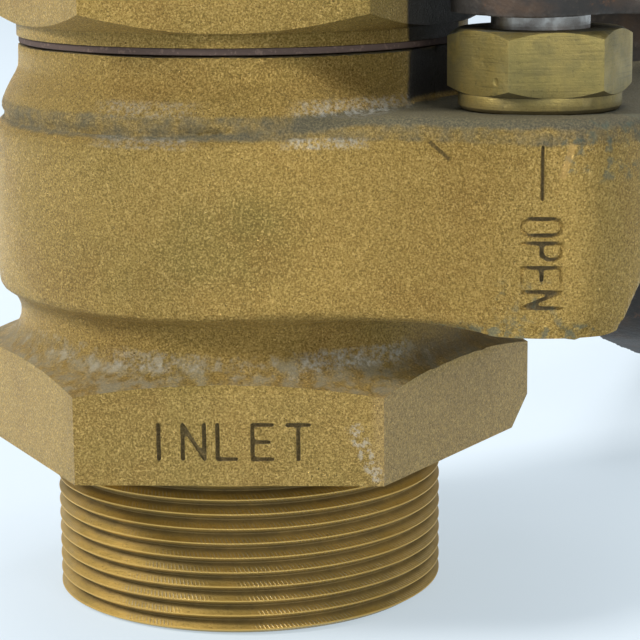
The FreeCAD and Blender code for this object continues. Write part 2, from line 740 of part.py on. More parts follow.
def disc_group():
    """The disc with its stud, the spring washer under it, and the washer and clip that hold it."""
    washer_top = "(%s - face_gap)" % ARM_BASE
    washer_base = "(%s - disc_washer_thick)" % washer_top
    clip_base = "(%s - face_gap - clip_thick)" % washer_base
    stud_end = "(%s - 0.6)" % clip_base
    disc = turned("Disc", [
        ("0", stud_end),
        ("stud_radius - 0.5", stud_end),
        ("stud_radius", stud_end + " + 0.4"),
        ("stud_radius - stud_groove", clip_base),
        ("stud_radius - stud_groove", clip_base + " + clip_thick"),
        ("stud_radius", clip_base + " + clip_thick"),
        ("stud_radius", DISC_BASE),
        ("disc_radius - 0.8", DISC_BASE),
        ("disc_radius", DISC_BASE + " + 0.8"),
        ("disc_radius", DISC_TOP + " - 0.4"),
        ("disc_radius - 0.4", DISC_TOP),
        ("0", DISC_TOP)])
    keep(disc, "valve_disc")
    keep(ring("DiscWasher", "(stud_radius + running_gap)", "clip_radius", washer_base, washer_top,
              chamfer="0.15"), "disc_washer")
    clip = ring("ClipRing", "(stud_radius - stud_groove + running_gap)", "clip_radius", clip_base + " + 0.02",
                clip_base + " + clip_thick - 0.02", chamfer="0.15")
    gap = block("ClipGap", "2 * clip_radius", "clip_gap", "clip_thick + 2 * past", "clip_radius",
                z=clip_base + " - past")
    keep(cut("DiscClip", clip, gap), "disc_clip")
    keep(turned("DiscSpring", [
        ("stud_radius + 2 * loose_gap", DISC_BASE + " - running_gap - spring_thick"),
        ("stud_radius + 2 * loose_gap", DISC_BASE + " - running_gap"),
        ("arm_wide / 2", ARM_TOP + " + running_gap + spring_thick"),
        ("arm_wide / 2", ARM_TOP + " + running_gap")]), "disc_spring")


def bonnet():
    """The screwed bonnet with the outlet's pipe thread, its gasket and the seat ring."""
    face_base = "collar_top + gasket_thick"
    hex_base = face_base + " + bonnet_face_tall"
    outside = fused(
        "BonnetBlank",
        cylinder("BonnetThread", "opening_radius", "%s - %s + past" % (face_base, CEILING), z=CEILING),
        cylinder("BonnetFace", "bonnet_face_radius", "bonnet_face_tall + past", z=face_base),
        common("BonnetHex",
               hexagon("BonnetPrism", "bonnet_flats", "bonnet_top - (%s)" % hex_base, z=hex_base),
               turned("BonnetChamfer", [
                   ("0", hex_base),
                   ("bonnet_flats / 2", hex_base),
                   ("bonnet_flats / 2 + 2 * bonnet_corner_cut", hex_base + " + bonnet_corner_cut"),
                   ("bonnet_flats / 2 + 2 * bonnet_corner_cut", "bonnet_top - bonnet_corner_cut"),
                   ("bonnet_flats / 2 - 0.5", "bonnet_top"),
                   ("0", "bonnet_top")])))
    pitch = "thread_pitch"
    rows = int(size("outlet_depth") / size("thread_pitch"))
    profile = [("0", "bonnet_top - outlet_depth"), ("outlet_radius", "bonnet_top - outlet_depth")]
    for i in range(rows):
        base = "bonnet_top - outlet_depth + %d * %s" % (i, pitch)
        profile += [
            ("outlet_radius", "%s + 0.1 * %s" % (base, pitch)),
            ("outlet_radius + thread_depth", "%s + 0.5 * %s" % (base, pitch)),
            ("outlet_radius", "%s + 0.9 * %s" % (base, pitch))]
    profile += [("outlet_radius", "bonnet_top - 1.4"), ("outlet_radius + 1.9", "bonnet_top + 0.5"),
                ("0", "bonnet_top + 0.5")]
    keep(cut("Bonnet", outside,
             cylinder("OutletWaterway", "waterway_radius", "bonnet_top", z=SEAT_FACE),
             turned("OutletThread", profile),
             cylinder("SeatBore", "waterway_radius + seat_wide", "seat_tall - seat_proud + past",
                      z=CEILING + " - past")), "outlet_bonnet")
    keep(turned("SeatRing", [
        ("waterway_radius", SEAT_FACE),
        ("waterway_radius + seat_wide - 1.2", SEAT_FACE),
        ("waterway_radius + seat_wide", SEAT_FACE + " + 1.2"),
        ("waterway_radius + seat_wide", SEAT_FACE + " + seat_tall"),
        ("waterway_radius", SEAT_FACE + " + seat_tall")]), "seat_ring")
    keep(ring("Gasket", "(opening_radius + 0.2)", "bonnet_face_radius - 0.3", "collar_top",
              "(collar_top + gasket_thick)", chamfer="0.1"), "bonnet_gasket")


def offset_corners(path, shift):
    """The corners of a bent line, moved sideways by the same distance all along."""
    normals = []
    for start, end in zip(path, path[1:]):
        way = Vector(end[0] - start[0], 0, end[1] - start[1]).normalize()
        normals.append(Vector(-way.z, 0, way.x))
    corners = []
    for i, (reach, height) in enumerate(path):
        before = normals[max(i - 1, 0)]
        after = normals[min(i, len(normals) - 1)]
        mitre = (before + after).normalize()
        corners.append(Vector(reach, 0, height) + mitre * (shift / mitre.dot(after)))
    return corners


def lever():
    """The iron lever: a hub on the post, a flat arm, a drop behind the lobe and a low grip."""
    thick = size("lever_thick")
    hub = size("lever_hub_radius")
    base = value(LEVER_BASE)
    tall = size("lever_hub_tall")
    level = base + tall / 2
    drop = size("lever_drop_at")
    length = size("lever_length")
    path = [(0, level), (drop, level), (drop + size("lever_drop_run"), size("lever_low")),
            (drop + size("lever_grip_from"), size("lever_grip_low") + size("lever_grip_slope")),
            (length, size("lever_grip_low"))]
    upper = offset_corners(path, thick / 2)
    lower = offset_corners(path, -thick / 2)
    wide = size("lever_wide")
    grip = size("grip_wide")
    outline = upper + lower[::-1]
    bar = Part.Face(Part.makePolygon(outline + outline[:1])).extrude(Vector(0, 2 * grip, 0))
    bar.translate(Vector(0, -grip, 0))
    bends = []
    for inner, outer in ((lower[1], upper[1]), (upper[2], lower[2])):
        bends += [(inner, size("lever_bend")), (outer, size("lever_bend") + thick)]
    for corner, radius in bends:
        edges = [edge for edge in bar.Edges
                 if edge.BoundBox.YLength > grip and edge.distToShape(Part.Vertex(corner))[0] < 0.01]
        bar = bar.makeFillet(radius, edges)
    plan = Part.makePolygon([
        Vector(0, -wide / 2, 0), Vector(drop, -wide / 2, 0), Vector(length - grip / 2, -grip / 2, 0),
        Vector(length - grip / 2, grip / 2, 0), Vector(drop, wide / 2, 0), Vector(0, wide / 2, 0),
        Vector(0, -wide / 2, 0)])
    low = size("lever_grip_low") - 2 * thick
    high = base + 2 * tall
    footprint = slab(plan, low, high).fuse(rod(grip / 2, low, high, Vector(length - grip / 2, 0, 0)))
    bar = bar.common(footprint)
    nib_angle = size("open_mark_angle") + size("swing") - size("lever_angle")
    half = size("pointer_half_angle")
    root = hub - 2.0
    nib = Part.makePolygon([polar(nib_angle - half, root), polar(nib_angle, size("pointer_reach")),
                            polar(nib_angle + half, root), polar(nib_angle - half, root)])
    pointer = slab(nib, base, base + size("pointer_thick"))
    solid = bar.multiFuse([rod(hub, base, base + tall), pointer]).removeSplitter()
    side = size("square_side") + 2 * size("running_gap")
    past = size("past")
    square = Part.makeBox(side, side, tall + 2 * past, Vector(-side / 2, -side / 2, base - past))
    square.rotate(Vector(), Vector(0, 0, 1), -size("lever_angle"))
    shaped = solid_feature("LeverShape", solid.cut(square))
    shaped.Placement = Placement(POST, Rotation(Vector(0, 0, 1), size("lever_angle")))
    keep(shaped, "lever")


def lever_fasteners():
    washer_base = LEVER_TOP
    nut_base = LEVER_TOP + " + lever_washer_thick"
    keep(ring("LeverWasher", "(stem_thread_radius + 0.1)", "lever_washer_radius", washer_base,
              "(%s)" % nut_base, "post_offset", "0.2"), "lever_washer")
    nut_hex = common(
        "LeverNutHex",
        hexagon("LeverNutPrism", "lever_nut_flats", "lever_nut_tall", "post_offset", z=nut_base,
                turn=size("lever_nut_turn")),
        corner_cut("LeverNutChamfer", "lever_nut_flats / 2", "lever_nut_corner_cut", nut_base,
                   nut_base + " + lever_nut_tall"))
    bore = cylinder("LeverNutBore", "stem_thread_radius + 0.02", "lever_nut_tall + 2 * past", "post_offset",
                    z=nut_base + " - past")
    keep(cut("LeverNut", nut_hex, bore), "lever_nut")


def drain_plug():
    """A square-headed plug in the lowest wall of the lobe."""
    mouth = "chamber_base - drain_boss_drop"
    shank = cylinder("PlugShank", "drain_radius - 0.02", "drain_boss_drop + chamber_wall - 0.6", z=mouth)
    collar_base = mouth + " - drain_collar_tall"
    collar = cylinder("PlugCollar", "drain_radius + drain_collar_wide", "drain_collar_tall", z=collar_base)
    head = block("PlugHead", "drain_head_side", "drain_head_side", "drain_head_tall",
                 z=collar_base + " - drain_head_tall")
    plug = fused("DrainPlug", shank, collar, head)
    for axis, formula in (("x", "post_offset * (1 - cos(swing))"), ("y", "post_offset * sin(swing)")):
        plug.setExpression("Placement.Base." + axis, words(formula))
    keep(plug, "drain_plug")


valve_body()
bearings()
gland()
post()
swing_arm()
disc_group()
bonnet()
lever()
lever_fasteners()
drain_plug()
doc.recompute()

for thing in doc.Objects:
    if "Invalid" in thing.State or "Error" in thing.State:
        raise RuntimeError("object %s did not build: %s" % (thing.Label, thing.State))
for thing in parts:
    if thing.Shape.isNull() or not thing.Shape.isValid() or not thing.Shape.Solids:
        raise RuntimeError("sub-part %s has no valid solid" % thing.Label)

os.makedirs("parts", exist_ok=True)
for thing in parts:
    thing.Shape.exportStep("parts/%s.step" % thing.Label)
    print("%-18s %8.1f mm3, %d solid(s)" % (thing.Label, thing.Shape.Volume, len(thing.Shape.Solids)))
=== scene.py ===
import json
import math

import bpy
from mathutils import Matrix, Vector


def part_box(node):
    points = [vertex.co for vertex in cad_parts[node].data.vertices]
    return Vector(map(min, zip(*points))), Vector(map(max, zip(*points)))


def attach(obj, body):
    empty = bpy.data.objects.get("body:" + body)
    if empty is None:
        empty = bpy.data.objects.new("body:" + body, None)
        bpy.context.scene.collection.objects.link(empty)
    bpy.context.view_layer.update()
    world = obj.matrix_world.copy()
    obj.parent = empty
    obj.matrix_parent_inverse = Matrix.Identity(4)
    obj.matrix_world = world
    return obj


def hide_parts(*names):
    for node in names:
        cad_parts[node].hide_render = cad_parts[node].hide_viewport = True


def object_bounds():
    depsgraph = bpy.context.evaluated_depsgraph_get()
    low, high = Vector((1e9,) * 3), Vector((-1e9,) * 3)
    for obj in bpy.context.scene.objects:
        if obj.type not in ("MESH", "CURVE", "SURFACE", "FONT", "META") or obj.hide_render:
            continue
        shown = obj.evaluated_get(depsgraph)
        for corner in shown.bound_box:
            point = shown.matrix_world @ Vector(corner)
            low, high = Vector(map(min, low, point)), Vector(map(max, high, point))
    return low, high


bl_info = {
    "name": "Lever valve looks",
    "version": (1, 0, 0),
    "blender": (4, 5, 0),
    "location": "3D View > Sidebar > Valve",
    "description": "Cast and machined surfaces for a quick-opening lever valve",
    "category": "Object",
}

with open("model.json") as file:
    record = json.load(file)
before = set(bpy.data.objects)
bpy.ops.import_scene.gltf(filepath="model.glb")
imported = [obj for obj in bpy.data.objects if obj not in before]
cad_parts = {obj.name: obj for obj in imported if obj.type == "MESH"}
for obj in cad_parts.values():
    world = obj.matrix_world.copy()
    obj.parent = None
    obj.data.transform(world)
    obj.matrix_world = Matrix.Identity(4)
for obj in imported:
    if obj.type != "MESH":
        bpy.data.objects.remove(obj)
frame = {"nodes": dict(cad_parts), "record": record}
CAD_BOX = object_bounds()
NODES = frame["nodes"]
SLOTS = {part["node"]: part["material_slot"] for part in frame["record"]["subparts"]}
BODIES = {node: body for body, nodes in frame["record"]["behaviour"]["bodies"].items() for node in nodes}

# Levels and places that the CAD fixes, in metres.
HEX_LOW = 0.025
HEX_HIGH = 0.0378
HEX_RADIUS = 0.0381
HALF_FLAT = math.radians(30.0)
HEX_CORNER = HEX_RADIUS / math.cos(HALF_FLAT)
FRONT_FLAT = Vector((math.sin(HALF_FLAT), -math.cos(HALF_FLAT), 0.0))
POST = Vector((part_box("post")[0].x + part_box("post")[1].x, 0.0, 0.0)) / 2
BOSS_RADIUS = 0.0175
CAD_MARK_DEPTH = 0.0009
WATERWAY = 0.024

# The marks: a word's letter height, spacing and width against its height, then where it stands.
INLET_MARK = {"tall": 0.0050, "spacing": 0.00495, "stretch": 0.92}
INLET_ANGLE = -60.0
OPEN_MARK = {"tall": 0.0054, "spacing": 0.00335, "stretch": 0.62}
OPEN_ANGLE = -61.5
OPEN_LEVEL = 0.0578
INDEX_LEVELS = (0.0667, 0.0737)
MARK_CELL = 0.00020

# The chip in the hexagon lies across this way, and a whole casting has more faces than this.
CHIP_WAY = Vector((0.75, 0.43, -0.50)).normalized()
LEAST_CASTING_FACES = 20000
MOULD_LUMP = 0.011
HAMMER_LUMP = 0.016

# Shares of the thread's pitch where its crest starts, its crest ends and its groove is reached again.
CREST_START, CREST_END, GROOVE_START = 0.42, 0.50, 0.92
THREAD_STEPS = 128
END_CHAMFER = 0.0005

# Lights: name, place, target, size, power and colour.
LIGHTS = (
    ("key", (-0.80, -1.10, 1.24), (0.0, 0.0, 0.06), 0.45, 34.0, (1.0, 0.98, 0.95)),
    ("side", (1.40, -0.70, 0.75), (0.02, 0.0, 0.05), 0.60, 9.0, (0.93, 0.97, 1.0)),
    ("top", (0.10, 0.40, 1.70), (0.0, 0.0, 0.05), 0.90, 12.0, (0.95, 0.98, 1.0)),
    ("back", (-1.00, 1.30, 1.50), (0.0, 0.0, 0.05), 1.20, 7.0, (0.95, 0.97, 1.0)),
)
ROOM_COLOUR = (0.80, 0.84, 0.88, 1.0)
ROOM_STRENGTH = 0.62
FLOOR_WIDTH = 2.0
FLOOR_SPREAD = 6.0
CAMERA_PLACE = (0.1934, -0.2823, 0.1113)
CAMERA_BEARING, CAMERA_TILT, CAMERA_ROLL = 32.5, 78.40, -0.48
CAMERA_LENS = 124.9

# For the finishes, whose lengths are in millimetres.
MM = 1000.0
POST_MM = POST.x * MM
GRAIN_SHADOW = (0.095, 0.060, 0.012, 1.0)
SOOT_GRAIN = (0.15, 0.14, 0.085, 1.0)
UNLIT_HOLLOW = (0.008, 0.008, 0.008, 1.0)
PALE_DUST_AND_SHEEN = (0.42, 0.38, 0.28, 1.0)
SILVER_SHEEN = (0.60, 0.60, 0.55, 1.0)
PALE_SCUFF = (0.52, 0.46, 0.36, 1.0)
BARE_GOUGE = (0.52, 0.33, 0.11, 1.0)
BRASS_SHADOW = (0.075, 0.058, 0.022, 1.0)


# --- small helpers for modelling ---

def clear_selection():
    """Leave edit mode and select nothing."""
    if bpy.context.object and bpy.context.object.mode != "OBJECT":
        bpy.ops.object.mode_set(mode="OBJECT")
    bpy.ops.object.select_all(action="DESELECT")


def only(*things):
    """Select these objects and nothing else, the first one active."""
    clear_selection()
    for thing in things:
        thing.select_set(True)
    bpy.context.view_layer.objects.active = things[0]
    return things[0]


def named(name):
    """Give the active object and its mesh their name."""
    thing = bpy.context.object
    thing.name = name
    thing.data.name = name
    return thing


def pick(thing, test):
    """In edit mode, select the vertices whose place passes a test, and return how many there are."""
    bpy.ops.mesh.select_mode(type="VERT")
    bpy.ops.mesh.select_all(action="DESELECT")
    bpy.ops.object.mode_set(mode="OBJECT")
    chosen = [vertex for vertex in thing.data.vertices if test(vertex.co)]
    for vertex in chosen:
        vertex.select = True
    bpy.ops.object.mode_set(mode="EDIT")
    return len(chosen)


def apply_modifier(thing, kind, **settings):
    """Add a modifier, set it and apply it."""
    only(thing)
    modifier = thing.modifiers.new(kind, kind)
    for key, setting in settings.items():
        setattr(modifier, key, setting)
    bpy.ops.object.modifier_apply(modifier=modifier.name)


def merged_copy(node, name):
    """A copy of a CAD piece with its loose triangles joined, ready to be worked on."""
    thing = bpy.data.objects.new(name, NODES[node].data.copy())
    thing.data.name = name
    bpy.context.scene.collection.objects.link(thing)
    only(thing)
    bpy.ops.object.mode_set(mode="EDIT")
    bpy.ops.mesh.select_all(action="SELECT")
    bpy.ops.mesh.remove_doubles(threshold=2e-6)
    bpy.ops.object.mode_set(mode="OBJECT")
    bpy.ops.mesh.customdata_custom_splitnormals_clear()
    return thing


def placed(thing, matrix):
    """Move an object, then put the move into its mesh."""
    thing.matrix_world = matrix @ thing.matrix_world
    only(thing)
    bpy.ops.object.transform_apply(location=True, rotation=True, scale=True)
    return thing


def finished(thing, node, material):
    """Give a piece its finish, and the slot and body of its CAD node."""
    thing.data.materials.clear()
    thing.data.materials.append(material)
    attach(thing, BODIES[node])
    return thing


def fail(operator, message):
    """Stop, with the operator's name."""
    raise RuntimeError("%s: %s" % (operator.bl_idname, message))


# --- materials ---

class Flow:
    """A value in a material's nodes. Plain arithmetic on it adds Math nodes."""

    def __init__(self, finish, node, out=0):
        self.finish = finish
        self.shader_node = node
        self.socket = node.outputs[out]

    def out(self, name):
        return Flow(self.finish, self.shader_node, name)

    def maths(self, operation, first, second):
        return self.finish.node("ShaderNodeMath", {"operation": operation}, {0: first, 1: second})

    def __add__(self, other):
        return self.maths("ADD", self, other)

    def __radd__(self, other):
        return self.maths("ADD", other, self)

    def __sub__(self, other):
        return self.maths("SUBTRACT", self, other)

    def __rsub__(self, other):
        return self.maths("SUBTRACT", other, self)

    def __mul__(self, other):
        return self.maths("MULTIPLY", self, other)

    def __rmul__(self, other):
        return self.maths("MULTIPLY", other, self)

    def __pow__(self, other):
        return self.maths("POWER", self, other)


class Finish:
    """One material and the nodes that make it. Its lengths are in millimetres."""

    def __init__(self, name):
        self.material = bpy.data.materials.new(name)
        self.material.use_nodes = True
        self.tree = self.material.node_tree
        self.tree.nodes.clear()
        self.shader = self.tree.nodes.new("ShaderNodeBsdfPrincipled")
        output = self.tree.nodes.new("ShaderNodeOutputMaterial")
        self.tree.links.new(self.shader.outputs[0], output.inputs["Surface"])
        place = self.node("ShaderNodeTexCoord", {}, {}, "Object")
        self.place = self.node("ShaderNodeMapping", {}, {"Vector": place, "Scale": (MM,) * 3})
        split = self.node("ShaderNodeSeparateXYZ", {}, {"Vector": self.place})
        self.x, self.y, self.z = split, split.out("Y"), split.out("Z")

    def node(self, kind, settings, inputs, out=0):
        made = self.tree.nodes.new(kind)
        for key, setting in settings.items():
            setattr(made, key, setting)
        for key, given in inputs.items():
            if isinstance(given, Flow):
                self.tree.links.new(given.socket, made.inputs[key])
            else:
                made.inputs[key].default_value = given
        return Flow(self, made, out)

    def step(self, value, low, high):
        """0 below low, 1 over high and smooth between. It falls when low is over high."""
        return self.node("ShaderNodeMapRange", {"interpolation_type": "SMOOTHSTEP"},
                         {"Value": value, "From Min": low, "From Max": high}, "Result")

    def mix(self, factor, first, second):
        return self.node("ShaderNodeMix", {"data_type": "RGBA"}, {0: factor, 6: first, 7: second}, 2)

    def noise(self, per_mm, detail=4.0, rough=0.55, twist=0.0, place=None):
        return self.node("ShaderNodeTexNoise", {}, {
            "Vector": place or self.place, "Scale": per_mm, "Detail": detail, "Roughness": rough,
            "Distortion": twist})

    def cells(self, per_mm, out="Distance"):
        return self.node("ShaderNodeTexVoronoi", {"feature": "F1"}, {
            "Vector": self.place, "Scale": per_mm}, out)

    def reach(self, x, y):
        """Distance from a vertical axis."""
        across = self.x - x
        along = self.y - y
        return (across * across + along * along) ** 0.5

    def stretched(self, scale):
        return self.node("ShaderNodeMapping", {}, {"Vector": self.place, "Scale": scale})

    def bearing(self, x):
        """Angle about a vertical axis that stands at x, in radians."""
        return self.node("ShaderNodeMath", {"operation": "ARCTAN2"}, {0: self.y, 1: self.x - x})

    def wave(self, phase):
        return self.node("ShaderNodeMath", {"operation": "SINE"}, {0: phase})

    def lathe_rings(self, x, per_mm):
        """Fine rings about a vertical axis that stands at x."""
        place = self.node("ShaderNodeCombineXYZ", {}, {"X": self.reach(x, 0.0), "Z": self.z})
        return self.noise(per_mm, 2, 0.5, 0.0, place)

    def crevice(self, distance):
        """1 where the surface is shut in by other walls, 0 where it is open."""
        light = self.node("ShaderNodeAmbientOcclusion", {"samples": 4}, {"Distance": distance}, "AO")
        return 1.0 - light

    def upward(self, low, high):
        """1 on surfaces that face up."""
        normal = self.node("ShaderNodeNewGeometry", {}, {}, "Normal")
        split = self.node("ShaderNodeSeparateXYZ", {}, {"Vector": normal})
        return self.step(split.out("Z"), low, high)

    def between(self, value, low, high, soft):
        """1 between two levels, fading out over a soft width."""
        return self.step(value, low - soft, low) * self.step(value, high + soft, high)

    def scratch(self, across, start, end, wide):
        """1 along a straight mark between two places, given as (across, level)."""
        run, rise = end[0] - start[0], end[1] - start[1]
        length = math.hypot(run, rise)
        side, up = across - start[0], self.z - start[1]
        off = side * (rise / length) - up * (run / length)
        along = side * (run / length) + up * (rise / length)
        edge = (wide / 2) ** 2
        return self.step(off * off, edge * 1.8, edge * 0.4) * self.between(along, 0.0, length, 0.4)

    def edge(self, low, high):
        """1 on corners that stand out."""
        sharp = self.node("ShaderNodeNewGeometry", {}, {}, "Pointiness")
        return self.step(sharp, low, high)

    def set(self, **sockets):
        """Feed the shader. A plain number stays on the socket."""
        for word, given in sockets.items():
            key = word.replace("_", " ").title().replace("Ior", "IOR")
            if isinstance(given, Flow):
                self.tree.links.new(given.socket, self.shader.inputs[key])
            else:
                self.shader.inputs[key].default_value = given

    def bump(self, height, strength=1.0):
        """Height in millimetres."""
        relief = self.node("ShaderNodeBump", {}, {
            "Height": height, "Distance": 1.0 / MM, "Strength": strength})
        self.tree.links.new(relief.socket, self.shader.inputs["Normal"])


def rgb(colour):
    """A property's colour as a socket takes it."""
    return (*colour, 1.0)


def cast_bronze(looks):
    """Sand-cast bronze: bright and dark flecks, olive and brown tarnish, grime, dust and green salts."""
    f = Finish("cast bronze")
    reach = f.reach(0.0, 0.0)
    reach_post = f.reach(POST_MM, 0.0)
    along_flat = f.x * -FRONT_FLAT.y + f.y * FRONT_FLAT.x
    out_of_flat = f.x * FRONT_FLAT.x + f.y * FRONT_FLAT.y
    front = f.step(f.y, -8.0, -10.0)
    # tarnish, broad and then fine
    broad = f.step(f.noise(0.026, 3, 0.5, 0.6), 0.40, 0.62)
    patches = f.step(f.noise(0.075, 6, 0.62, 0.5), 0.46, 0.66)
    grain = f.noise(3.4, 4, 0.85)
    fleck = f.node("ShaderNodeSeparateColor", {}, {"Color": f.cells(3.6, "Color")})
    sparkle = f.step(fleck, 0.70, 1.0) * f.step(f.noise(0.8, 3, 0.6), 0.36, 0.60)
    middle = f.between(f.x, 15.0, 24.0, 7.0) * f.between(f.z, 56.0, 63.0, 6.0) * front
    tarnish = broad * (0.30 + f.step(f.x, -12.0, 10.0) * 0.20) + middle * 0.55
    colour = f.mix(f.step(tarnish, 0.0, 1.2), rgb(looks.gold), rgb(looks.olive))
    colour = f.mix(patches * 0.45, colour, rgb(looks.brown))
    # the wrench flats are pinker where they were rubbed
    flats = f.step(f.z, 39.5, 37.5) * f.step(reach, 31.0, 33.0)
    colour = f.mix(flats * (0.10 + f.step(f.x, 36.0, 37.6) * 0.65), colour, rgb(looks.rubbed))
    colour = f.mix(sparkle * 0.60, colour, rgb(looks.fleck))
    colour = f.mix(f.step(grain, 0.53, 0.38) * 0.66, colour, GRAIN_SHADOW)
    colour = f.mix(f.step(grain, 0.52, 0.64) * 0.80, colour, rgb(looks.fleck))
    # grime and painted shade in corners, where the surface is shut in; grime in the sunk letters; painted
    # shadow under the boss
    shut = f.step(f.crevice(0.006), 0.25, 0.80)
    ragged = f.noise(0.5, 5, 0.65)
    grime_and_shade = f.step(shut + (ragged - 0.5) * 0.55, 0.30, 0.70)
    in_flat = f.step(out_of_flat, 38.05, 37.90) * f.between(along_flat, -12.2, 12.2, 0.3)
    in_flat = in_flat * f.between(f.z, 28.4, 34.4, 0.3) * f.step(out_of_flat, 37.2, 37.4)
    in_boss = f.step(reach_post, 17.36, 17.24) * front * f.between(f.x, 53.0, 64.5, 0.3)
    in_boss = in_boss * f.between(f.z, 50.2, 74.0, 0.3)
    sunk = (in_flat * 0.60 + in_boss * 0.75) * f.step(ragged, 0.20, 0.42)
    # painted shadow: brown shade under the boss's overhang, over the ledge
    boss_shadow = f.step(f.x, 33.0, 36.5) * f.between(f.z, 40.5, 47.0, 1.0) * f.step(reach, 44.0, 41.0)
    colour = f.mix(grime_and_shade * 0.70, colour, rgb(looks.grime_and_shade))
    colour = f.mix(boss_shadow * 0.55, colour, rgb(looks.stain))
    colour = f.mix(sunk, colour, rgb(looks.grime_and_shade))
    # dark dust on the roof, and dust with painted shade in the groove under the shoulder
    top = f.step(f.z, 73.0, 75.2)
    roof = top * f.upward(0.20, 1.0) * f.step(reach, 31.0, 34.5) * (0.55 + f.step(f.x, 20.0, 45.0) * 0.45)
    # the groove under the shoulder: dust, and painted shade above the band's ridge
    groove = f.between(f.z, 74.3, 76.8, 1.1) * f.step(reach, 33.4, 34.2)
    soot = f.step(roof * 1.1 + groove * 0.60 + (f.noise(0.30, 5, 0.7) - 0.5) * 1.3, 0.20, 0.95)
    soot_colour = f.mix(f.step(grain, 0.44, 0.62) * 0.8, rgb(looks.soot), SOOT_GRAIN)
    colour = f.mix(soot * 0.85, colour, soot_colour)
    # painted shade: near black in the gap between the collar and the nut
    hollow = f.step(reach_post, 19.0, 18.5) * f.step(f.z, 77.8, 78.6)
    colour = f.mix(hollow * 0.95, colour, UNLIT_HOLLOW)
    # paler dust on the ledge over the hexagon, and a painted highlight along it
    ledge = f.between(f.z, 38.4, 42.6, 0.8) * f.upward(0.15, 0.60)
    dust = ledge * f.step(f.noise(0.35, 5, 0.65) + shut * 0.25, 0.36, 0.64)
    colour = f.mix(dust * 0.70, colour, rgb(looks.dust))
    # pale dust blotches along the ledge, partly a painted highlight where the ledge reflects the light
    blotch_and_sheen = f.between(f.z, 40.6, 43.2, 1.0) * f.step(f.noise(0.42, 5, 0.7), 0.52, 0.62)
    colour = f.mix(blotch_and_sheen * f.step(f.y, 0.0, -8.0) * 0.45, colour, PALE_DUST_AND_SHEEN)
    # green salts under the boss, round its letters and beside the nut
    damp = f.step(f.noise(0.50, 5, 0.65), 0.50, 0.62)
    low_edge = f.step(reach_post, 21.0, 18.0) * f.between(f.z, 46.6, 48.6, 1.2) * front
    letters = f.between(f.x, 54.0, 61.0, 2.0) * f.between(f.z, 47.0, 54.5, 2.0) * front
    corner = f.between(f.x, 61.5, 68.0, 1.0) * f.between(f.z, 69.5, 76.5, 1.5)
    salts = f.step(low_edge + letters * 0.55 + corner * 0.75, 0.0, 1.0) * damp
    colour = f.mix(salts * 0.60, colour, rgb(looks.verdigris))
    # painted highlights: pale patches where the shoulder, the rim and the ledge reflect the light
    rims = f.between(f.z, 77.4, 78.8, 0.7) + f.between(f.z, 73.0, 74.0, 0.5)
    rims = rims + f.between(f.z, 41.2, 43.0, 0.7)
    lit = f.between(f.x, 27.5, 33.5, 3.0) + f.between(f.x, 3.0, 12.0, 5.0) * 0.6
    painted_sheen = rims * lit * front * f.step(f.noise(1.3, 4, 0.75), 0.42, 0.64)
    colour = f.mix(painted_sheen * 0.50, colour, SILVER_SHEEN)
    # knocks: a pale scuff on the front flat, and tool marks by the index line
    broken = f.step(f.noise(0.8, 5, 0.8), 0.48, 0.56)
    scuff = f.scratch(along_flat, (17.6, 33.8), (21.2, 25.9), 2.1) * broken * f.step(f.z, 38.6, 38.0)
    scuff = scuff * f.step(out_of_flat, 36.5, 37.0)
    colour = f.mix(scuff * 0.70, colour, PALE_SCUFF)
    tool = f.scratch(f.x, (43.6, 73.9), (46.2, 71.7), 0.5)
    colour = f.mix(tool * front * 0.65, colour, rgb(looks.grime_and_shade))
    gouge = f.scratch(f.x, (62.5, 73.9), (61.4, 69.6), 0.7) * front
    colour = f.mix(gouge * 0.55, colour, BARE_GOUGE)
    dull = f.step(grime_and_shade + soot + dust + salts + sunk + boss_shadow * 0.5, 0.1, 1.0)
    clean = 1.0 - dull
    f.set(base_color=colour, metallic=0.12 + clean * 0.74,
          roughness=0.68 - clean * 0.29 + (grain - 0.5) * 0.30 - sparkle * 0.12)
    wrinkles = f.noise(0.60, 3, 0.6, 1.3) * (0.35 + f.step(f.x, 14.0, -4.0))
    pits = f.step(f.cells(0.42), 0.16, 0.05) * f.step(f.noise(0.06, 2), 0.5, 0.6)
    skin = f.noise(0.11, 3, 0.5) * 0.50 + f.noise(0.60, 4, 0.6) * 0.26 + grain * 0.52 + fleck * 0.10
    height = skin + wrinkles * 0.26 - pits * 0.16 + soot * 0.06 + dust * 0.05 - tool * 0.10 - gouge * 0.12
    f.bump(height, 0.85)
    return f.material


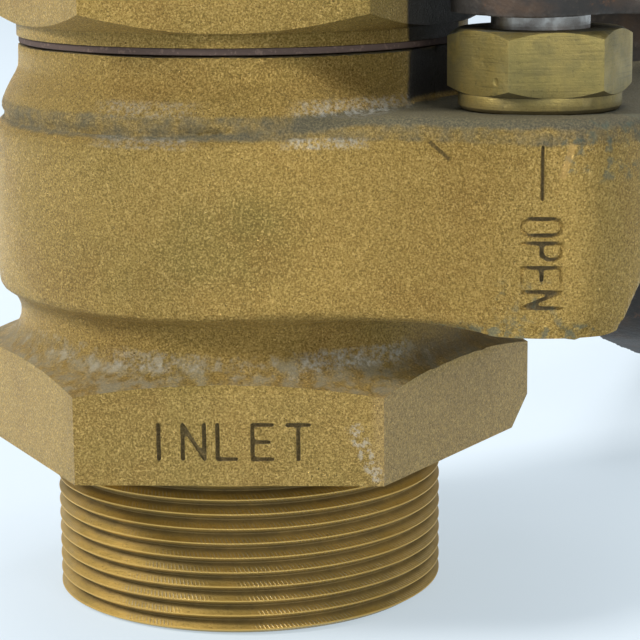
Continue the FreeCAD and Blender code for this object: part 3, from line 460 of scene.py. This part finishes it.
def thread_bronze(looks):
    """The cut inlet thread: a rubbed line on each crest, beads of tool chatter, brown grooves."""
    f = Finish("cut thread bronze")
    reach = f.reach(0.0, 0.0)
    cut = f.step(reach, 27.5, 28.2)
    root = f.step(reach, 29.75, 28.95) * cut
    crest = f.step(reach, 29.98, 30.12)
    beat = f.wave(f.bearing(0.0) * 300.0 + f.z * 9.0)
    spread = f.step(f.noise(0.06, 3, 0.6), 0.44, 0.58)
    chatter = f.step(beat + f.noise(0.9, 3, 0.6) * 1.8, 1.0, 2.0) * (1.0 - root) * spread
    patches = f.step(f.noise(0.09, 5, 0.6, 0.4), 0.42, 0.64)
    grain = f.noise(2.6, 3, 0.75)
    colour = f.mix(patches * 0.55, (0.53, 0.355, 0.098, 1.0), (0.34, 0.245, 0.070, 1.0))
    colour = f.mix(f.step(grain, 0.46, 0.30) * 0.5, colour, (0.11, 0.075, 0.027, 1.0))
    colour = f.mix(chatter * 0.60, colour, (0.58, 0.50, 0.34, 1.0))
    colour = f.mix(crest * 0.75, colour, (0.66, 0.43, 0.12, 1.0))
    dirt = root * (0.45 + f.noise(0.35, 4, 0.6) * 0.6)
    colour = f.mix(dirt * 0.85, colour, rgb(looks.thread_dirt_and_shade))
    # painted shade under the hexagon's overhang, in the colour of the dirt
    shade_under_hex = f.step(f.z, 21.5, 24.0)
    colour = f.mix(shade_under_hex * 0.5, colour, rgb(looks.thread_dirt_and_shade))
    f.set(base_color=colour, metallic=0.78 - dirt * 0.5,
          roughness=0.46 + dirt * 0.25 + (grain - 0.5) * 0.25)
    f.bump(chatter * 0.06 + grain * 0.06 + f.noise(0.3, 3) * 0.12, 0.9)
    return f.material


def dull_brass(looks):
    """Machined brass gone dull: dusty faces, dark corners, lathe lines on the round face."""
    f = Finish("dull machined brass")
    patches = f.step(f.noise(0.13, 5, 0.6, 0.5), 0.42, 0.64)
    grain = f.noise(2.2, 4, 0.75)
    facing = f.noise(1.0, 3, 0.6, 0.0, f.stretched((0.12, 0.12, 3.2)))
    colour = f.mix(patches * 0.6, (0.32, 0.24, 0.070, 1.0), (0.18, 0.15, 0.052, 1.0))
    colour = f.mix(f.step(facing, 0.56, 0.70) * 0.25, colour, (0.36, 0.27, 0.095, 1.0))
    colour = f.mix(f.step(facing, 0.42, 0.32) * 0.30, colour, BRASS_SHADOW)
    colour = f.mix(f.step(grain, 0.46, 0.28) * 0.55, colour, BRASS_SHADOW)
    colour = f.mix(f.edge(0.52, 0.58) * 0.45, colour, (0.42, 0.33, 0.13, 1.0))
    # grime and painted shade in the corners, where the surface is shut in
    shut = f.step(f.crevice(0.006), 0.25, 0.75)
    grime_and_shade = f.step(shut + (f.noise(0.5, 5, 0.65) - 0.5) * 0.6, 0.25, 0.65)
    colour = f.mix(grime_and_shade * 0.70, colour, rgb(looks.grime_and_shade))
    film = 0.20 + f.upward(0.3, 0.8) * 0.6 + f.step(f.x, 46.0, 41.0) * 0.35
    dust = f.step(f.noise(0.16, 5, 0.62), 0.45, 0.62) * film
    colour = f.mix(dust, colour, rgb(looks.soot))
    f.set(base_color=colour, metallic=0.75 - grime_and_shade * 0.5 - dust * 0.3,
          roughness=0.44 + grime_and_shade * 0.25 + dust * 0.2 + (grain - 0.5) * 0.2)
    dents = f.step(f.cells(0.30), 0.20, 0.04) * f.step(f.noise(0.11, 2), 0.54, 0.62)
    f.bump(grain * 0.07 + facing * 0.06 - dents * 0.15 + f.noise(0.3, 3) * 0.15, 0.8)
    return f.material


def turned_bronze(looks):
    """Bronze off the lathe: fine rings about the flow axis and water stains."""
    f = Finish("turned bronze")
    rings = f.lathe_rings(0.0, 6.0)
    stain = f.step(f.noise(0.09, 5, 0.6, 0.6), 0.46, 0.66)
    colour = f.mix(stain * 0.6, (0.64, 0.46, 0.22, 1.0), rgb(looks.brown))
    colour = f.mix(f.step(rings, 0.55, 0.7) * 0.25, colour, (0.78, 0.60, 0.33, 1.0))
    # grime and painted shade in the corners, where the surface is shut in
    colour = f.mix(f.step(f.crevice(0.005), 0.4, 0.9) * 0.6, colour, rgb(looks.grime_and_shade))
    f.set(base_color=colour, metallic=0.92 - stain * 0.3, roughness=0.26 + stain * 0.2 + rings * 0.1)
    f.bump(rings * 0.03 + f.noise(0.4, 3) * 0.03, 0.7)
    return f.material


def stem_steel(looks):
    """Turned stainless steel, faintly ringed about the post."""
    f = Finish("stem steel")
    rings = f.lathe_rings(POST_MM, 5.0)
    smudge = f.step(f.noise(0.16, 5, 0.6, 0.3), 0.44, 0.66)
    colour = f.mix(smudge * 0.55, (0.50, 0.49, 0.46, 1.0), (0.26, 0.24, 0.21, 1.0))
    colour = f.mix(f.step(rings, 0.52, 0.68) * 0.3, colour, (0.66, 0.65, 0.62, 1.0))
    rust = f.step(f.crevice(0.004), 0.45, 0.9) * f.step(f.noise(0.5, 4, 0.6), 0.4, 0.6)
    colour = f.mix(rust * 0.7, colour, (0.17, 0.075, 0.030, 1.0))
    f.set(base_color=colour, metallic=0.95 - rust * 0.7, roughness=0.30 + smudge * 0.18 + rust * 0.3)
    f.bump(rings * 0.035 + f.noise(0.7, 3) * 0.04, 0.7)
    return f.material


def dark_iron(looks):
    """Rough dark iron with a brown bloom and rubbed corners."""
    f = Finish("rough dark iron")
    bloom = f.step(f.noise(0.06, 6, 0.62, 0.5), 0.44, 0.68)
    scale = f.noise(0.9, 5, 0.68)
    skin = f.cells(0.75)
    colour = f.mix(bloom * 0.8, rgb(looks.iron), (0.085, 0.048, 0.026, 1.0))
    colour = f.mix(f.step(scale, 0.55, 0.72) * 0.5, colour, (0.105, 0.082, 0.060, 1.0))
    rust = f.step(f.noise(0.22, 6, 0.7, 0.3), 0.60, 0.70)
    colour = f.mix(rust * 0.6, colour, (0.16, 0.070, 0.028, 1.0))
    rubbed = f.edge(0.515, 0.57)
    colour = f.mix(rubbed * 0.55, colour, (0.20, 0.18, 0.16, 1.0))
    f.set(base_color=colour, metallic=0.30 + rubbed * 0.5,
          roughness=0.62 + (scale - 0.5) * 0.3 - rubbed * 0.15)
    f.bump(scale * 0.20 + f.noise(0.25, 3) * 0.35 + skin * 0.10, 0.9)
    return f.material


def fibre(looks):
    """Pressed brown fibre with paler flecks."""
    f = Finish("pressed fibre")
    fuzz = f.noise(2.5, 5, 0.7)
    fleck = f.step(f.noise(1.1, 3, 0.6), 0.56, 0.66)
    colour = f.mix(fleck * 0.6, (0.075, 0.045, 0.033, 1.0), (0.17, 0.11, 0.08, 1.0))
    f.set(base_color=colour, roughness=0.8 + (fuzz - 0.5) * 0.2)
    f.bump(fuzz * 0.08 + fleck * 0.03, 0.8)
    return f.material


def packing(looks):
    """Black braided packing, its plaits running round the post."""
    f = Finish("graphited packing")
    braid = f.wave(f.bearing(POST_MM) * 40.0 + f.z * 4.0)
    colour = f.mix(f.step(braid, -0.5, 0.8) * 0.6, (0.020, 0.020, 0.021, 1.0), (0.07, 0.07, 0.07, 1.0))
    f.set(base_color=colour, roughness=0.55 + braid * 0.05, metallic=0.1)
    f.bump(braid * 0.1 + f.noise(1.5, 3) * 0.05, 0.7)
    return f.material


def pale_floor(looks):
    """The plain pale floor, which glows a little."""
    f = Finish("pale floor")
    shade = f.noise(0.004, 3, 0.5)
    colour = f.mix(shade * 0.12, rgb(looks.floor), (0.30, 0.32, 0.34, 1.0))
    f.set(base_color=colour, roughness=0.75 + (f.noise(0.3, 3) - 0.5) * 0.05, specular_ior_level=0.2,
          emission_color=rgb(looks.floor_glow), emission_strength=1.0)
    f.bump(f.noise(0.5, 3) * 0.01, 0.2)
    return f.material


MAKERS = {
    "cast_bronze": cast_bronze, "thread": thread_bronze, "yellow_brass": dull_brass,
    "turned_bronze": turned_bronze, "stem_steel": stem_steel, "dark_iron": dark_iron, "fibre": fibre,
    "packing": packing, "floor": pale_floor,
}
made_materials = {}


def material(word):
    """The finish of that name, made once."""
    if word not in made_materials:
        made_materials[word] = MAKERS[word](bpy.context.scene.valve_finish)
    return made_materials[word]


# --- what a user would change ---

def colour_property(word, about, default):
    return bpy.props.FloatVectorProperty(name=word, description=about, default=default, size=3,
                                         subtype="COLOR", min=0.0, max=1.0)


class ValveFinish(bpy.types.PropertyGroup):
    """Colours of the finishes."""
    gold: colour_property("Gold", "Clean cast bronze", (0.415, 0.275, 0.076))
    olive: colour_property("Olive", "Green-brown tarnish", (0.215, 0.170, 0.044))
    brown: colour_property("Brown", "Brown tarnish", (0.300, 0.175, 0.045))
    fleck: colour_property("Fleck", "Bright grains of the cast skin", (0.70, 0.49, 0.17))
    rubbed: colour_property("Rubbed", "Pinker bronze on the wrench flats", (0.44, 0.30, 0.125))
    # Grime: dirt in the letters and tool marks, and painted shade in corners
    grime_and_shade: colour_property("Grime", "Dirt in corners and letters", (0.045, 0.034, 0.018))
    # Stain is painted shadow: the brown shade under the boss's overhang
    stain: colour_property("Stain", "Brown stain under the boss", (0.105, 0.066, 0.024))
    # Thread dirt: dirt in the grooves, and painted shade under the hexagon
    thread_dirt_and_shade: colour_property("Thread dirt", "Dirt in the thread's grooves", (0.055, 0.034, 0.013))
    dust: colour_property("Dust", "Grey-green dust on the ledge", (0.20, 0.185, 0.125))
    # Soot: dark dust on the roof and the nut; in the groove under the shoulder it is also painted shade
    soot: colour_property("Soot", "Dark dust round the nut and in the groove", (0.050, 0.054, 0.037))
    verdigris: colour_property("Verdigris", "Green copper salts", (0.085, 0.125, 0.090))
    iron: colour_property("Iron", "Dark iron of the lever", (0.030, 0.026, 0.022))
    floor: colour_property("Floor", "The floor and the backdrop", (0.26, 0.285, 0.31))
    floor_glow: colour_property("Floor glow", "Light of the floor's own, which keeps its shadows faint",
                                (0.420, 0.490, 0.540))


class ValveSizes(bpy.types.PropertyGroup):
    """Sizes of what is added to the CAD's shapes."""
    cast_depth: bpy.props.IntProperty(
        name="Casting detail", description="Halvings of the casting's length that give its mesh cells",
        default=7, min=5, max=8)
    lever_step: bpy.props.FloatProperty(
        name="Lever step", description="Size of the mesh cells of the lever's surface", default=0.0008,
        min=0.0005, subtype="DISTANCE", unit="LENGTH")
    cast_passes: bpy.props.IntProperty(
        name="Softness", description="Passes that round the casting's corners", default=5, min=0, max=20)
    waviness: bpy.props.FloatProperty(
        name="Waviness", description="How far the sand mould's unevenness sinks the surface",
        default=0.00030, min=0.0, subtype="DISTANCE", unit="LENGTH")
    thread_pitch: bpy.props.FloatProperty(
        name="Thread pitch", description="Rise of the inlet thread in one turn", default=0.002209,
        subtype="DISTANCE", unit="LENGTH")
    thread_crest: bpy.props.FloatProperty(
        name="Thread crest", description="Outer radius of the inlet thread", default=0.03016,
        subtype="DISTANCE", unit="LENGTH")
    thread_depth: bpy.props.FloatProperty(
        name="Thread depth", description="Depth of the thread's groove", default=0.00145,
        subtype="DISTANCE", unit="LENGTH")
    letter_deep: bpy.props.FloatProperty(
        name="Letter depth", description="How deep the letters are sunk", default=0.00034,
        subtype="DISTANCE", unit="LENGTH")
    letter_stroke: bpy.props.FloatProperty(
        name="Letter stroke", description="Width of a letter's stroke", default=0.00062,
        subtype="DISTANCE", unit="LENGTH")
    chip: bpy.props.FloatProperty(
        name="Chip", description="How much is knocked off one lower corner of the hexagon", default=0.0022,
        min=0.0, subtype="DISTANCE", unit="LENGTH")
    worn_edge: bpy.props.FloatProperty(
        name="Worn edge", description="Rounding of the machined edges", default=0.00030,
        subtype="DISTANCE", unit="LENGTH")


# --- the casting ---

LETTERS = {
    # strokes on a grid 4 wide and 6 tall
    "I": [((2, 0), (2, 6))],
    "N": [((0, 0), (0, 6)), ((0, 6), (4, 0)), ((4, 0), (4, 6))],
    "L": [((0, 6), (0, 0)), ((0, 0), (3.4, 0))],
    "E": [((0, 0), (0, 6)), ((0, 6), (3.6, 6)), ((0, 3), (3, 3)), ((0, 0), (3.6, 0))],
    "T": [((2, 0), (2, 6)), ((0, 6), (4, 6))],
    "O": [((0, 1), (0, 5)), ((0, 5), (1, 6)), ((1, 6), (3, 6)), ((3, 6), (4, 5)), ((4, 5), (4, 1)),
          ((4, 1), (3, 0)), ((3, 0), (1, 0)), ((1, 0), (0, 1))],
    "P": [((0, 0), (0, 6)), ((0, 6), (3, 6)), ((3, 6), (4, 5)), ((4, 5), (4, 4)), ((4, 4), (3, 3)),
          ((3, 3), (0, 3))],
}


def stroke_cutter(start, end, wide, deep):
    """A round-ended bar between two points of the XZ plane, sunk both ways along Y."""
    start = Vector((start[0], 0.0, start[1]))
    way = Vector((end[0], 0.0, end[1])) - start
    clear_selection()
    bpy.ops.mesh.primitive_cylinder_add(vertices=16, radius=wide / 2, depth=2 * deep,
                                        rotation=(math.pi / 2, 0.0, 0.0))
    bpy.ops.object.transform_apply(location=False, rotation=True, scale=False)
    bar = named("stroke")
    bpy.ops.object.mode_set(mode="EDIT")
    pick(bar, lambda co: co.x > 1e-6)
    bpy.ops.transform.translate(value=(way.length, 0.0, 0.0))
    bpy.ops.object.mode_set(mode="OBJECT")
    turn = Matrix.Rotation(-math.atan2(way.z, way.x), 4, "Y")
    return placed(bar, Matrix.Translation(start) @ turn)


def word_cutter(word, tall, spacing, stretch, wide, deep):
    """The strokes of a word, centred on the XZ plane's origin."""
    unit = tall / 6.0
    strokes = []
    for place, letter in enumerate(word):
        left = spacing * (place - (len(word) - 1) / 2.0) - 2 * unit * stretch
        for start, end in LETTERS[letter]:
            strokes.append(stroke_cutter(
                (left + start[0] * unit * stretch, (start[1] - 3) * unit),
                (left + end[0] * unit * stretch, (end[1] - 3) * unit), wide, deep))
    only(*strokes)
    bpy.ops.object.join()
    return named("word")


def on_face(angle, reach, level, upright, centre=Vector()):
    """Where a mark stands: its middle on a wall that faces an angle, its Y axis into the wall."""
    turn = math.radians(angle)
    place = centre + Vector((reach * math.cos(turn), reach * math.sin(turn), level))
    facing = Matrix.Rotation(turn + math.pi / 2, 4, "Z")
    lie = Matrix.Identity(4) if upright else Matrix.Rotation(math.pi / 2, 4, "Y")
    return Matrix.Translation(place) @ facing @ lie


class VALVE_OT_casting(bpy.types.Operator):
    """The cast body: softened, slightly uneven, one corner knocked off, with its marks sunk again"""
    bl_idname = "valve.casting"
    bl_label = "Casting"

    def execute(self, context):
        sizes = context.scene.valve_sizes
        body = merged_copy("valve_body", "cast_body")
        self.knock_corner(body, sizes.chip)
        apply_modifier(body, "REMESH", mode="SHARP", octree_depth=sizes.cast_depth, scale=0.9,
                       use_remove_disconnected=False)
        self.level_marks(body)
        skin = self.cast_skin(body)
        apply_modifier(body, "SMOOTH", factor=0.5, iterations=sizes.cast_passes, vertex_group=skin)
        unevenness = bpy.data.textures.new("mould", "CLOUDS")
        unevenness.noise_scale = MOULD_LUMP
        unevenness.noise_depth = 1
        apply_modifier(body, "DISPLACE", texture=unevenness, strength=sizes.waviness, mid_level=1.0,
                       texture_coords="GLOBAL", vertex_group=skin)
        if len(body.data.polygons) < LEAST_CASTING_FACES:
            fail(self, "the casting lost its surface")
        self.sink_marks(body, sizes)
        self.cut_off_thread(body)
        only(body)
        bpy.ops.object.shade_smooth_by_angle(angle=math.radians(50.0))
        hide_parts("valve_body")
        finished(body, "valve_body", material("cast_bronze"))
        return {"FINISHED"}

    @staticmethod
    def knock_corner(body, deep):
        """Take a lower corner of the hexagon off along a slanting plane."""
        corner = Vector((HEX_RADIUS, HEX_RADIUS * math.tan(HALF_FLAT), HEX_LOW))
        only(body)
        bpy.ops.object.mode_set(mode="EDIT")
        bpy.ops.mesh.select_all(action="SELECT")
        bpy.ops.mesh.bisect(plane_co=corner - CHIP_WAY * deep, plane_no=CHIP_WAY, use_fill=True,
                            clear_outer=True)
        bpy.ops.object.mode_set(mode="OBJECT")

    @staticmethod
    def level_marks(body):
        """Bring the fields of the marks back to their faces, where the marks are sunk again more finely."""
        for vertex in body.data.vertices:
            co = vertex.co
            if co.z < HEX_HIGH + 0.004 and math.hypot(co.x, co.y) > HEX_CORNER:
                shrink = HEX_CORNER / math.hypot(co.x, co.y)
                vertex.co = Vector((co.x * shrink, co.y * shrink, co.z))
            short = HEX_RADIUS - co.dot(FRONT_FLAT)
            beside = abs(co.x * FRONT_FLAT.y - co.y * FRONT_FLAT.x)
            in_field = beside < 0.014 and HEX_LOW + 0.0025 < co.z < HEX_HIGH - 0.0025
            if 0.0 < short < CAD_MARK_DEPTH and in_field:
                vertex.co = co + FRONT_FLAT * short
            out = Vector((co.x, co.y, 0.0)) - POST
            short = BOSS_RADIUS - out.length
            in_field = 0.002 < out.x < 0.0145 and out.y < 0.0 and 0.0495 < co.z < 0.0745
            if 0.0 < short < CAD_MARK_DEPTH and in_field:
                vertex.co = co + out.normalized() * short

    @staticmethod
    def cast_skin(body):
        """How far each vertex is rough casting, and not a wrench flat or the field of the boss's marks."""
        group = body.vertex_groups.new(name="skin")
        for vertex in body.data.vertices:
            over_hex = (vertex.co.z - HEX_HIGH - 0.0017) / 0.002
            off_marks = max(abs(vertex.co.x - POST.x - 0.0083) - 0.0065, vertex.co.y + 0.009) / 0.003
            weight = min(over_hex, max(off_marks, 0.0), 1.0)
            if weight > 0.0:
                group.add([vertex.index], weight, "REPLACE")
        return group.name

    @staticmethod
    def sink_marks(body, sizes):
        """INLET on a wrench flat, OPEN and the index line on the boss."""
        wide = sizes.letter_stroke
        deep = sizes.letter_deep
        inlet = word_cutter("INLET", wide=wide, deep=deep, **INLET_MARK)
        placed(inlet, on_face(INLET_ANGLE, HEX_RADIUS, (HEX_LOW + HEX_HIGH) / 2, True))
        opened = word_cutter("OPEN", wide=wide, deep=deep, **OPEN_MARK)
        placed(opened, on_face(OPEN_ANGLE, BOSS_RADIUS, OPEN_LEVEL, False, POST))
        index = stroke_cutter((0.0, INDEX_LEVELS[0]), (0.0, INDEX_LEVELS[1]), wide, 0.8 * deep)
        placed(index, on_face(OPEN_ANGLE, BOSS_RADIUS, 0.0, True, POST))
        for cutter in (inlet, opened, index):
            apply_modifier(cutter, "REMESH", mode="VOXEL", voxel_size=MARK_CELL)
            apply_modifier(cutter, "SMOOTH", factor=0.5, iterations=2)
            apply_modifier(body, "BOOLEAN", operation="DIFFERENCE", solver="MANIFOLD", object=cutter)
            bpy.data.objects.remove(cutter)

    @staticmethod
    def cut_off_thread(body):
        """Take the inlet thread's part off the casting. The thread is a piece of its own."""
        only(body)
        bpy.ops.object.mode_set(mode="EDIT")
        bpy.ops.mesh.select_all(action="SELECT")
        bpy.ops.mesh.bisect(plane_co=(0.0, 0.0, HEX_LOW - 0.0008), plane_no=(0.0, 0.0, 1.0),
                            clear_inner=True)
        bpy.ops.object.mode_set(mode="OBJECT")


def profile_line(name, points):
    """A line through points of the XZ plane, extruded one by one."""
    clear_selection()
    bpy.ops.mesh.primitive_plane_add(size=0.001, location=(points[0][0], 0.0, points[0][1]))
    bpy.ops.object.transform_apply(location=True, rotation=False, scale=False)
    line = named(name)
    bpy.ops.object.mode_set(mode="EDIT")
    bpy.ops.mesh.select_all(action="SELECT")
    bpy.ops.mesh.merge(type="CENTER")
    bpy.ops.mesh.select_mode(type="VERT")
    for before, after in zip(points, points[1:]):
        move = (after[0] - before[0], 0.0, after[1] - before[1])
        bpy.ops.mesh.extrude_region_move(TRANSFORM_OT_translate={"value": move})
    bpy.ops.object.mode_set(mode="OBJECT")
    return line


def helix(name, crest, root, pitch, low, high):
    """A pipe thread as one continuous helix about the flow axis, trimmed at both ends."""
    foot = low - 2 * pitch
    line = profile_line(name, [
        (root, foot), (crest, foot + CREST_START * pitch), (crest, foot + CREST_END * pitch),
        (root, foot + GROOVE_START * pitch), (root, foot + pitch)])
    turns = math.ceil((high - foot) / pitch) + 2
    apply_modifier(line, "SCREW", axis="Z", angle=math.tau, screw_offset=pitch, iterations=turns,
                   steps=THREAD_STEPS, render_steps=THREAD_STEPS, use_merge_vertices=True,
                   merge_threshold=1e-6)
    bpy.ops.object.mode_set(mode="EDIT")
    bpy.ops.mesh.select_all(action="SELECT")
    bpy.ops.mesh.remove_doubles(threshold=1e-6)
    bpy.ops.mesh.bisect(plane_co=(0.0, 0.0, low), plane_no=(0.0, 0.0, 1.0), clear_inner=True,
                        threshold=1e-7)
    bpy.ops.mesh.select_all(action="SELECT")
    bpy.ops.mesh.bisect(plane_co=(0.0, 0.0, high), plane_no=(0.0, 0.0, 1.0), clear_outer=True,
                        threshold=1e-7)
    bpy.ops.object.mode_set(mode="OBJECT")
    return line


class VALVE_OT_inlet_thread(bpy.types.Operator):
    """The inlet's helical pipe thread, its end face and the wall of the waterway inside it"""
    bl_idname = "valve.inlet_thread"
    bl_label = "Inlet thread"

    def execute(self, context):
        sizes = context.scene.valve_sizes
        crest = sizes.thread_crest
        thread = helix("inlet_thread", crest, crest - sizes.thread_depth, sizes.thread_pitch, 0.0,
                       HEX_LOW + 0.0002)
        only(thread)
        bpy.ops.object.mode_set(mode="EDIT")
        count = pick(thread, lambda co: abs(co.z) < 1e-7)
        if count < THREAD_STEPS / 2:
            fail(self, "the thread has no end")
        bpy.ops.mesh.extrude_region_move(TRANSFORM_OT_translate={"value": (0.0, 0.0, 0.0)})
        bpy.ops.transform.tosphere(value=1.0)
        bpy.ops.object.mode_set(mode="OBJECT")
        rim = [v.co for v in thread.data.vertices if v.select]
        reach = sum(math.hypot(co.x, co.y) for co in rim) / len(rim)
        bpy.ops.object.mode_set(mode="EDIT")
        inward = (WATERWAY + END_CHAMFER) / reach
        bpy.ops.transform.resize(value=(inward, inward, 1.0), center_override=(0.0, 0.0, 0.0))
        bpy.ops.mesh.extrude_region_move(TRANSFORM_OT_translate={"value": (0.0, 0.0, END_CHAMFER)})
        inward = WATERWAY / (WATERWAY + END_CHAMFER)
        bpy.ops.transform.resize(value=(inward, inward, 1.0), center_override=(0.0, 0.0, 0.0))
        bpy.ops.mesh.extrude_region_move(
            TRANSFORM_OT_translate={"value": (0.0, 0.0, HEX_LOW - END_CHAMFER)})
        bpy.ops.mesh.select_all(action="SELECT")
        bpy.ops.mesh.normals_make_consistent(inside=False)
        bpy.ops.object.mode_set(mode="OBJECT")
        bpy.ops.object.shade_smooth_by_angle(angle=math.radians(35.0))
        finished(thread, "valve_body", material("thread"))
        return {"FINISHED"}


class VALVE_OT_lever(bpy.types.Operator):
    """The iron lever, with the soft corners and dents of a rough forging"""
    bl_idname = "valve.lever"
    bl_label = "Lever"

    def execute(self, context):
        sizes = context.scene.valve_sizes
        lever = merged_copy("lever", "iron_lever")
        apply_modifier(lever, "REMESH", mode="VOXEL", voxel_size=sizes.lever_step)
        apply_modifier(lever, "SMOOTH", factor=0.5, iterations=8)
        hammering = bpy.data.textures.new("hammering", "CLOUDS")
        hammering.noise_scale = HAMMER_LUMP
        hammering.noise_depth = 2
        apply_modifier(lever, "DISPLACE", texture=hammering, strength=2 * sizes.waviness, mid_level=1.0,
                       texture_coords="GLOBAL")
        only(lever)
        bpy.ops.object.shade_smooth()
        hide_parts("lever")
        finished(lever, "lever", material("dark_iron"))
        return {"FINISHED"}


class VALVE_OT_machined_pieces(bpy.types.Operator):
    """The bonnet, nuts, washer, post and plug, with their edges broken"""
    bl_idname = "valve.machined_pieces"
    bl_label = "Machined pieces"

    def execute(self, context):
        sizes = context.scene.valve_sizes
        for node, name in (("gland_nut", "worn_gland_nut"), ("lever_nut", "worn_lever_nut"),
                           ("outlet_bonnet", "worn_bonnet"), ("drain_plug", "worn_plug")):
            piece = merged_copy(node, name)
            bpy.ops.object.mode_set(mode="EDIT")
            bpy.ops.mesh.select_all(action="SELECT")
            bpy.ops.mesh.dissolve_limited(angle_limit=math.radians(0.8))
            bpy.ops.object.mode_set(mode="OBJECT")
            apply_modifier(piece, "BEVEL", width=sizes.worn_edge, segments=2, limit_method="ANGLE",
                           angle_limit=math.radians(24.0), miter_outer="MITER_ARC")
            only(piece)
            bpy.ops.object.shade_smooth_by_angle(angle=math.radians(35.0))
            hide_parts(node)
            finished(piece, node, material(SLOTS[node]))
        return {"FINISHED"}


class VALVE_OT_plain_pieces(bpy.types.Operator):
    """The finishes of the pieces whose CAD shape stays as it is"""
    bl_idname = "valve.plain_pieces"
    bl_label = "Plain pieces"

    def execute(self, context):
        for node, thing in NODES.items():
            if not thing.hide_render:
                thing.material_slots[0].material = material(SLOTS[node])
        return {"FINISHED"}


# --- stage ---

class VALVE_OT_stage(bpy.types.Operator):
    """Floor, soft light and camera"""
    bl_idname = "valve.stage"
    bl_label = "Stage"

    def execute(self, context):
        clear_selection()
        bpy.ops.mesh.primitive_plane_add(size=FLOOR_WIDTH, location=(0.0, 0.0, 0.0))
        floor = named("floor")
        bpy.ops.object.mode_set(mode="EDIT")
        bpy.ops.mesh.select_all(action="SELECT")
        bpy.ops.mesh.subdivide(number_cuts=3)
        pick(floor, lambda co: max(abs(co.x), abs(co.y)) > 0.45 * FLOOR_WIDTH)
        bpy.ops.transform.resize(value=(FLOOR_SPREAD, FLOOR_SPREAD, 1.0), center_override=(0.0, 0.0, 0.0))
        bpy.ops.object.mode_set(mode="OBJECT")
        placed(floor, Matrix.Translation((0.0, 0.0, CAD_BOX[0].z - 0.0002)))
        floor.data.materials.append(material("floor"))
        for lamp in LIGHTS:
            self.light(*lamp)
        world = bpy.data.worlds.new("pale room")
        world.use_nodes = True
        backdrop = world.node_tree.nodes["Background"]
        backdrop.inputs["Color"].default_value = ROOM_COLOUR
        backdrop.inputs["Strength"].default_value = ROOM_STRENGTH
        context.scene.world = world
        context.scene.view_settings.view_transform = "Standard"
        camera_data = bpy.data.cameras.new("camera")
        camera_data.sensor_width = 36.0
        camera_data.lens = CAMERA_LENS
        camera_data.clip_start = 0.01
        camera = bpy.data.objects.new("camera", camera_data)
        context.scene.collection.objects.link(camera)
        bearing = Matrix.Rotation(math.radians(CAMERA_BEARING), 4, "Z")
        tilt = Matrix.Rotation(math.radians(CAMERA_TILT), 4, "X")
        roll = Matrix.Rotation(math.radians(CAMERA_ROLL), 4, "Z")
        camera.matrix_world = Matrix.Translation(CAMERA_PLACE) @ bearing @ tilt @ roll
        context.scene.camera = camera
        return {"FINISHED"}

    @staticmethod
    def light(name, place, target, size, power, colour):
        """A square soft light turned towards a point."""
        data = bpy.data.lights.new(name, "AREA")
        data.size = size
        data.energy = power
        data.color = colour
        lamp = bpy.data.objects.new(name, data)
        bpy.context.scene.collection.objects.link(lamp)
        way = Vector(target) - Vector(place)
        lamp.matrix_world = Matrix.Translation(place) @ way.to_track_quat("-Z", "Y").to_matrix().to_4x4()


OPERATORS = (
    VALVE_OT_stage, VALVE_OT_casting, VALVE_OT_inlet_thread, VALVE_OT_lever, VALVE_OT_machined_pieces,
    VALVE_OT_plain_pieces)


class VALVE_PT_panel(bpy.types.Panel):
    """Lists the steps that dress the valve"""
    bl_idname = "VALVE_PT_panel"
    bl_label = "Lever valve"
    bl_space_type = "VIEW_3D"
    bl_region_type = "UI"
    bl_category = "Valve"

    def draw(self, context):
        for operator in OPERATORS:
            self.layout.operator(operator.bl_idname)
        for group in (context.scene.valve_finish, context.scene.valve_sizes):
            column = self.layout.column(heading=group.__doc__)
            for word in group.__annotations__:
                column.prop(group, word)


CLASSES = (ValveFinish, ValveSizes) + OPERATORS + (VALVE_PT_panel,)


def register():
    for item in CLASSES:
        bpy.utils.register_class(item)
    bpy.types.Scene.valve_finish = bpy.props.PointerProperty(type=ValveFinish)
    bpy.types.Scene.valve_sizes = bpy.props.PointerProperty(type=ValveSizes)


def unregister():
    del bpy.types.Scene.valve_sizes
    del bpy.types.Scene.valve_finish
    for item in reversed(CLASSES):
        bpy.utils.unregister_class(item)


def main():
    register()
    bpy.ops.valve.stage()
    bpy.ops.valve.casting()
    bpy.ops.valve.inlet_thread()
    bpy.ops.valve.lever()
    bpy.ops.valve.machined_pieces()
    bpy.ops.valve.plain_pieces()


if __name__ == "__main__":
    main()
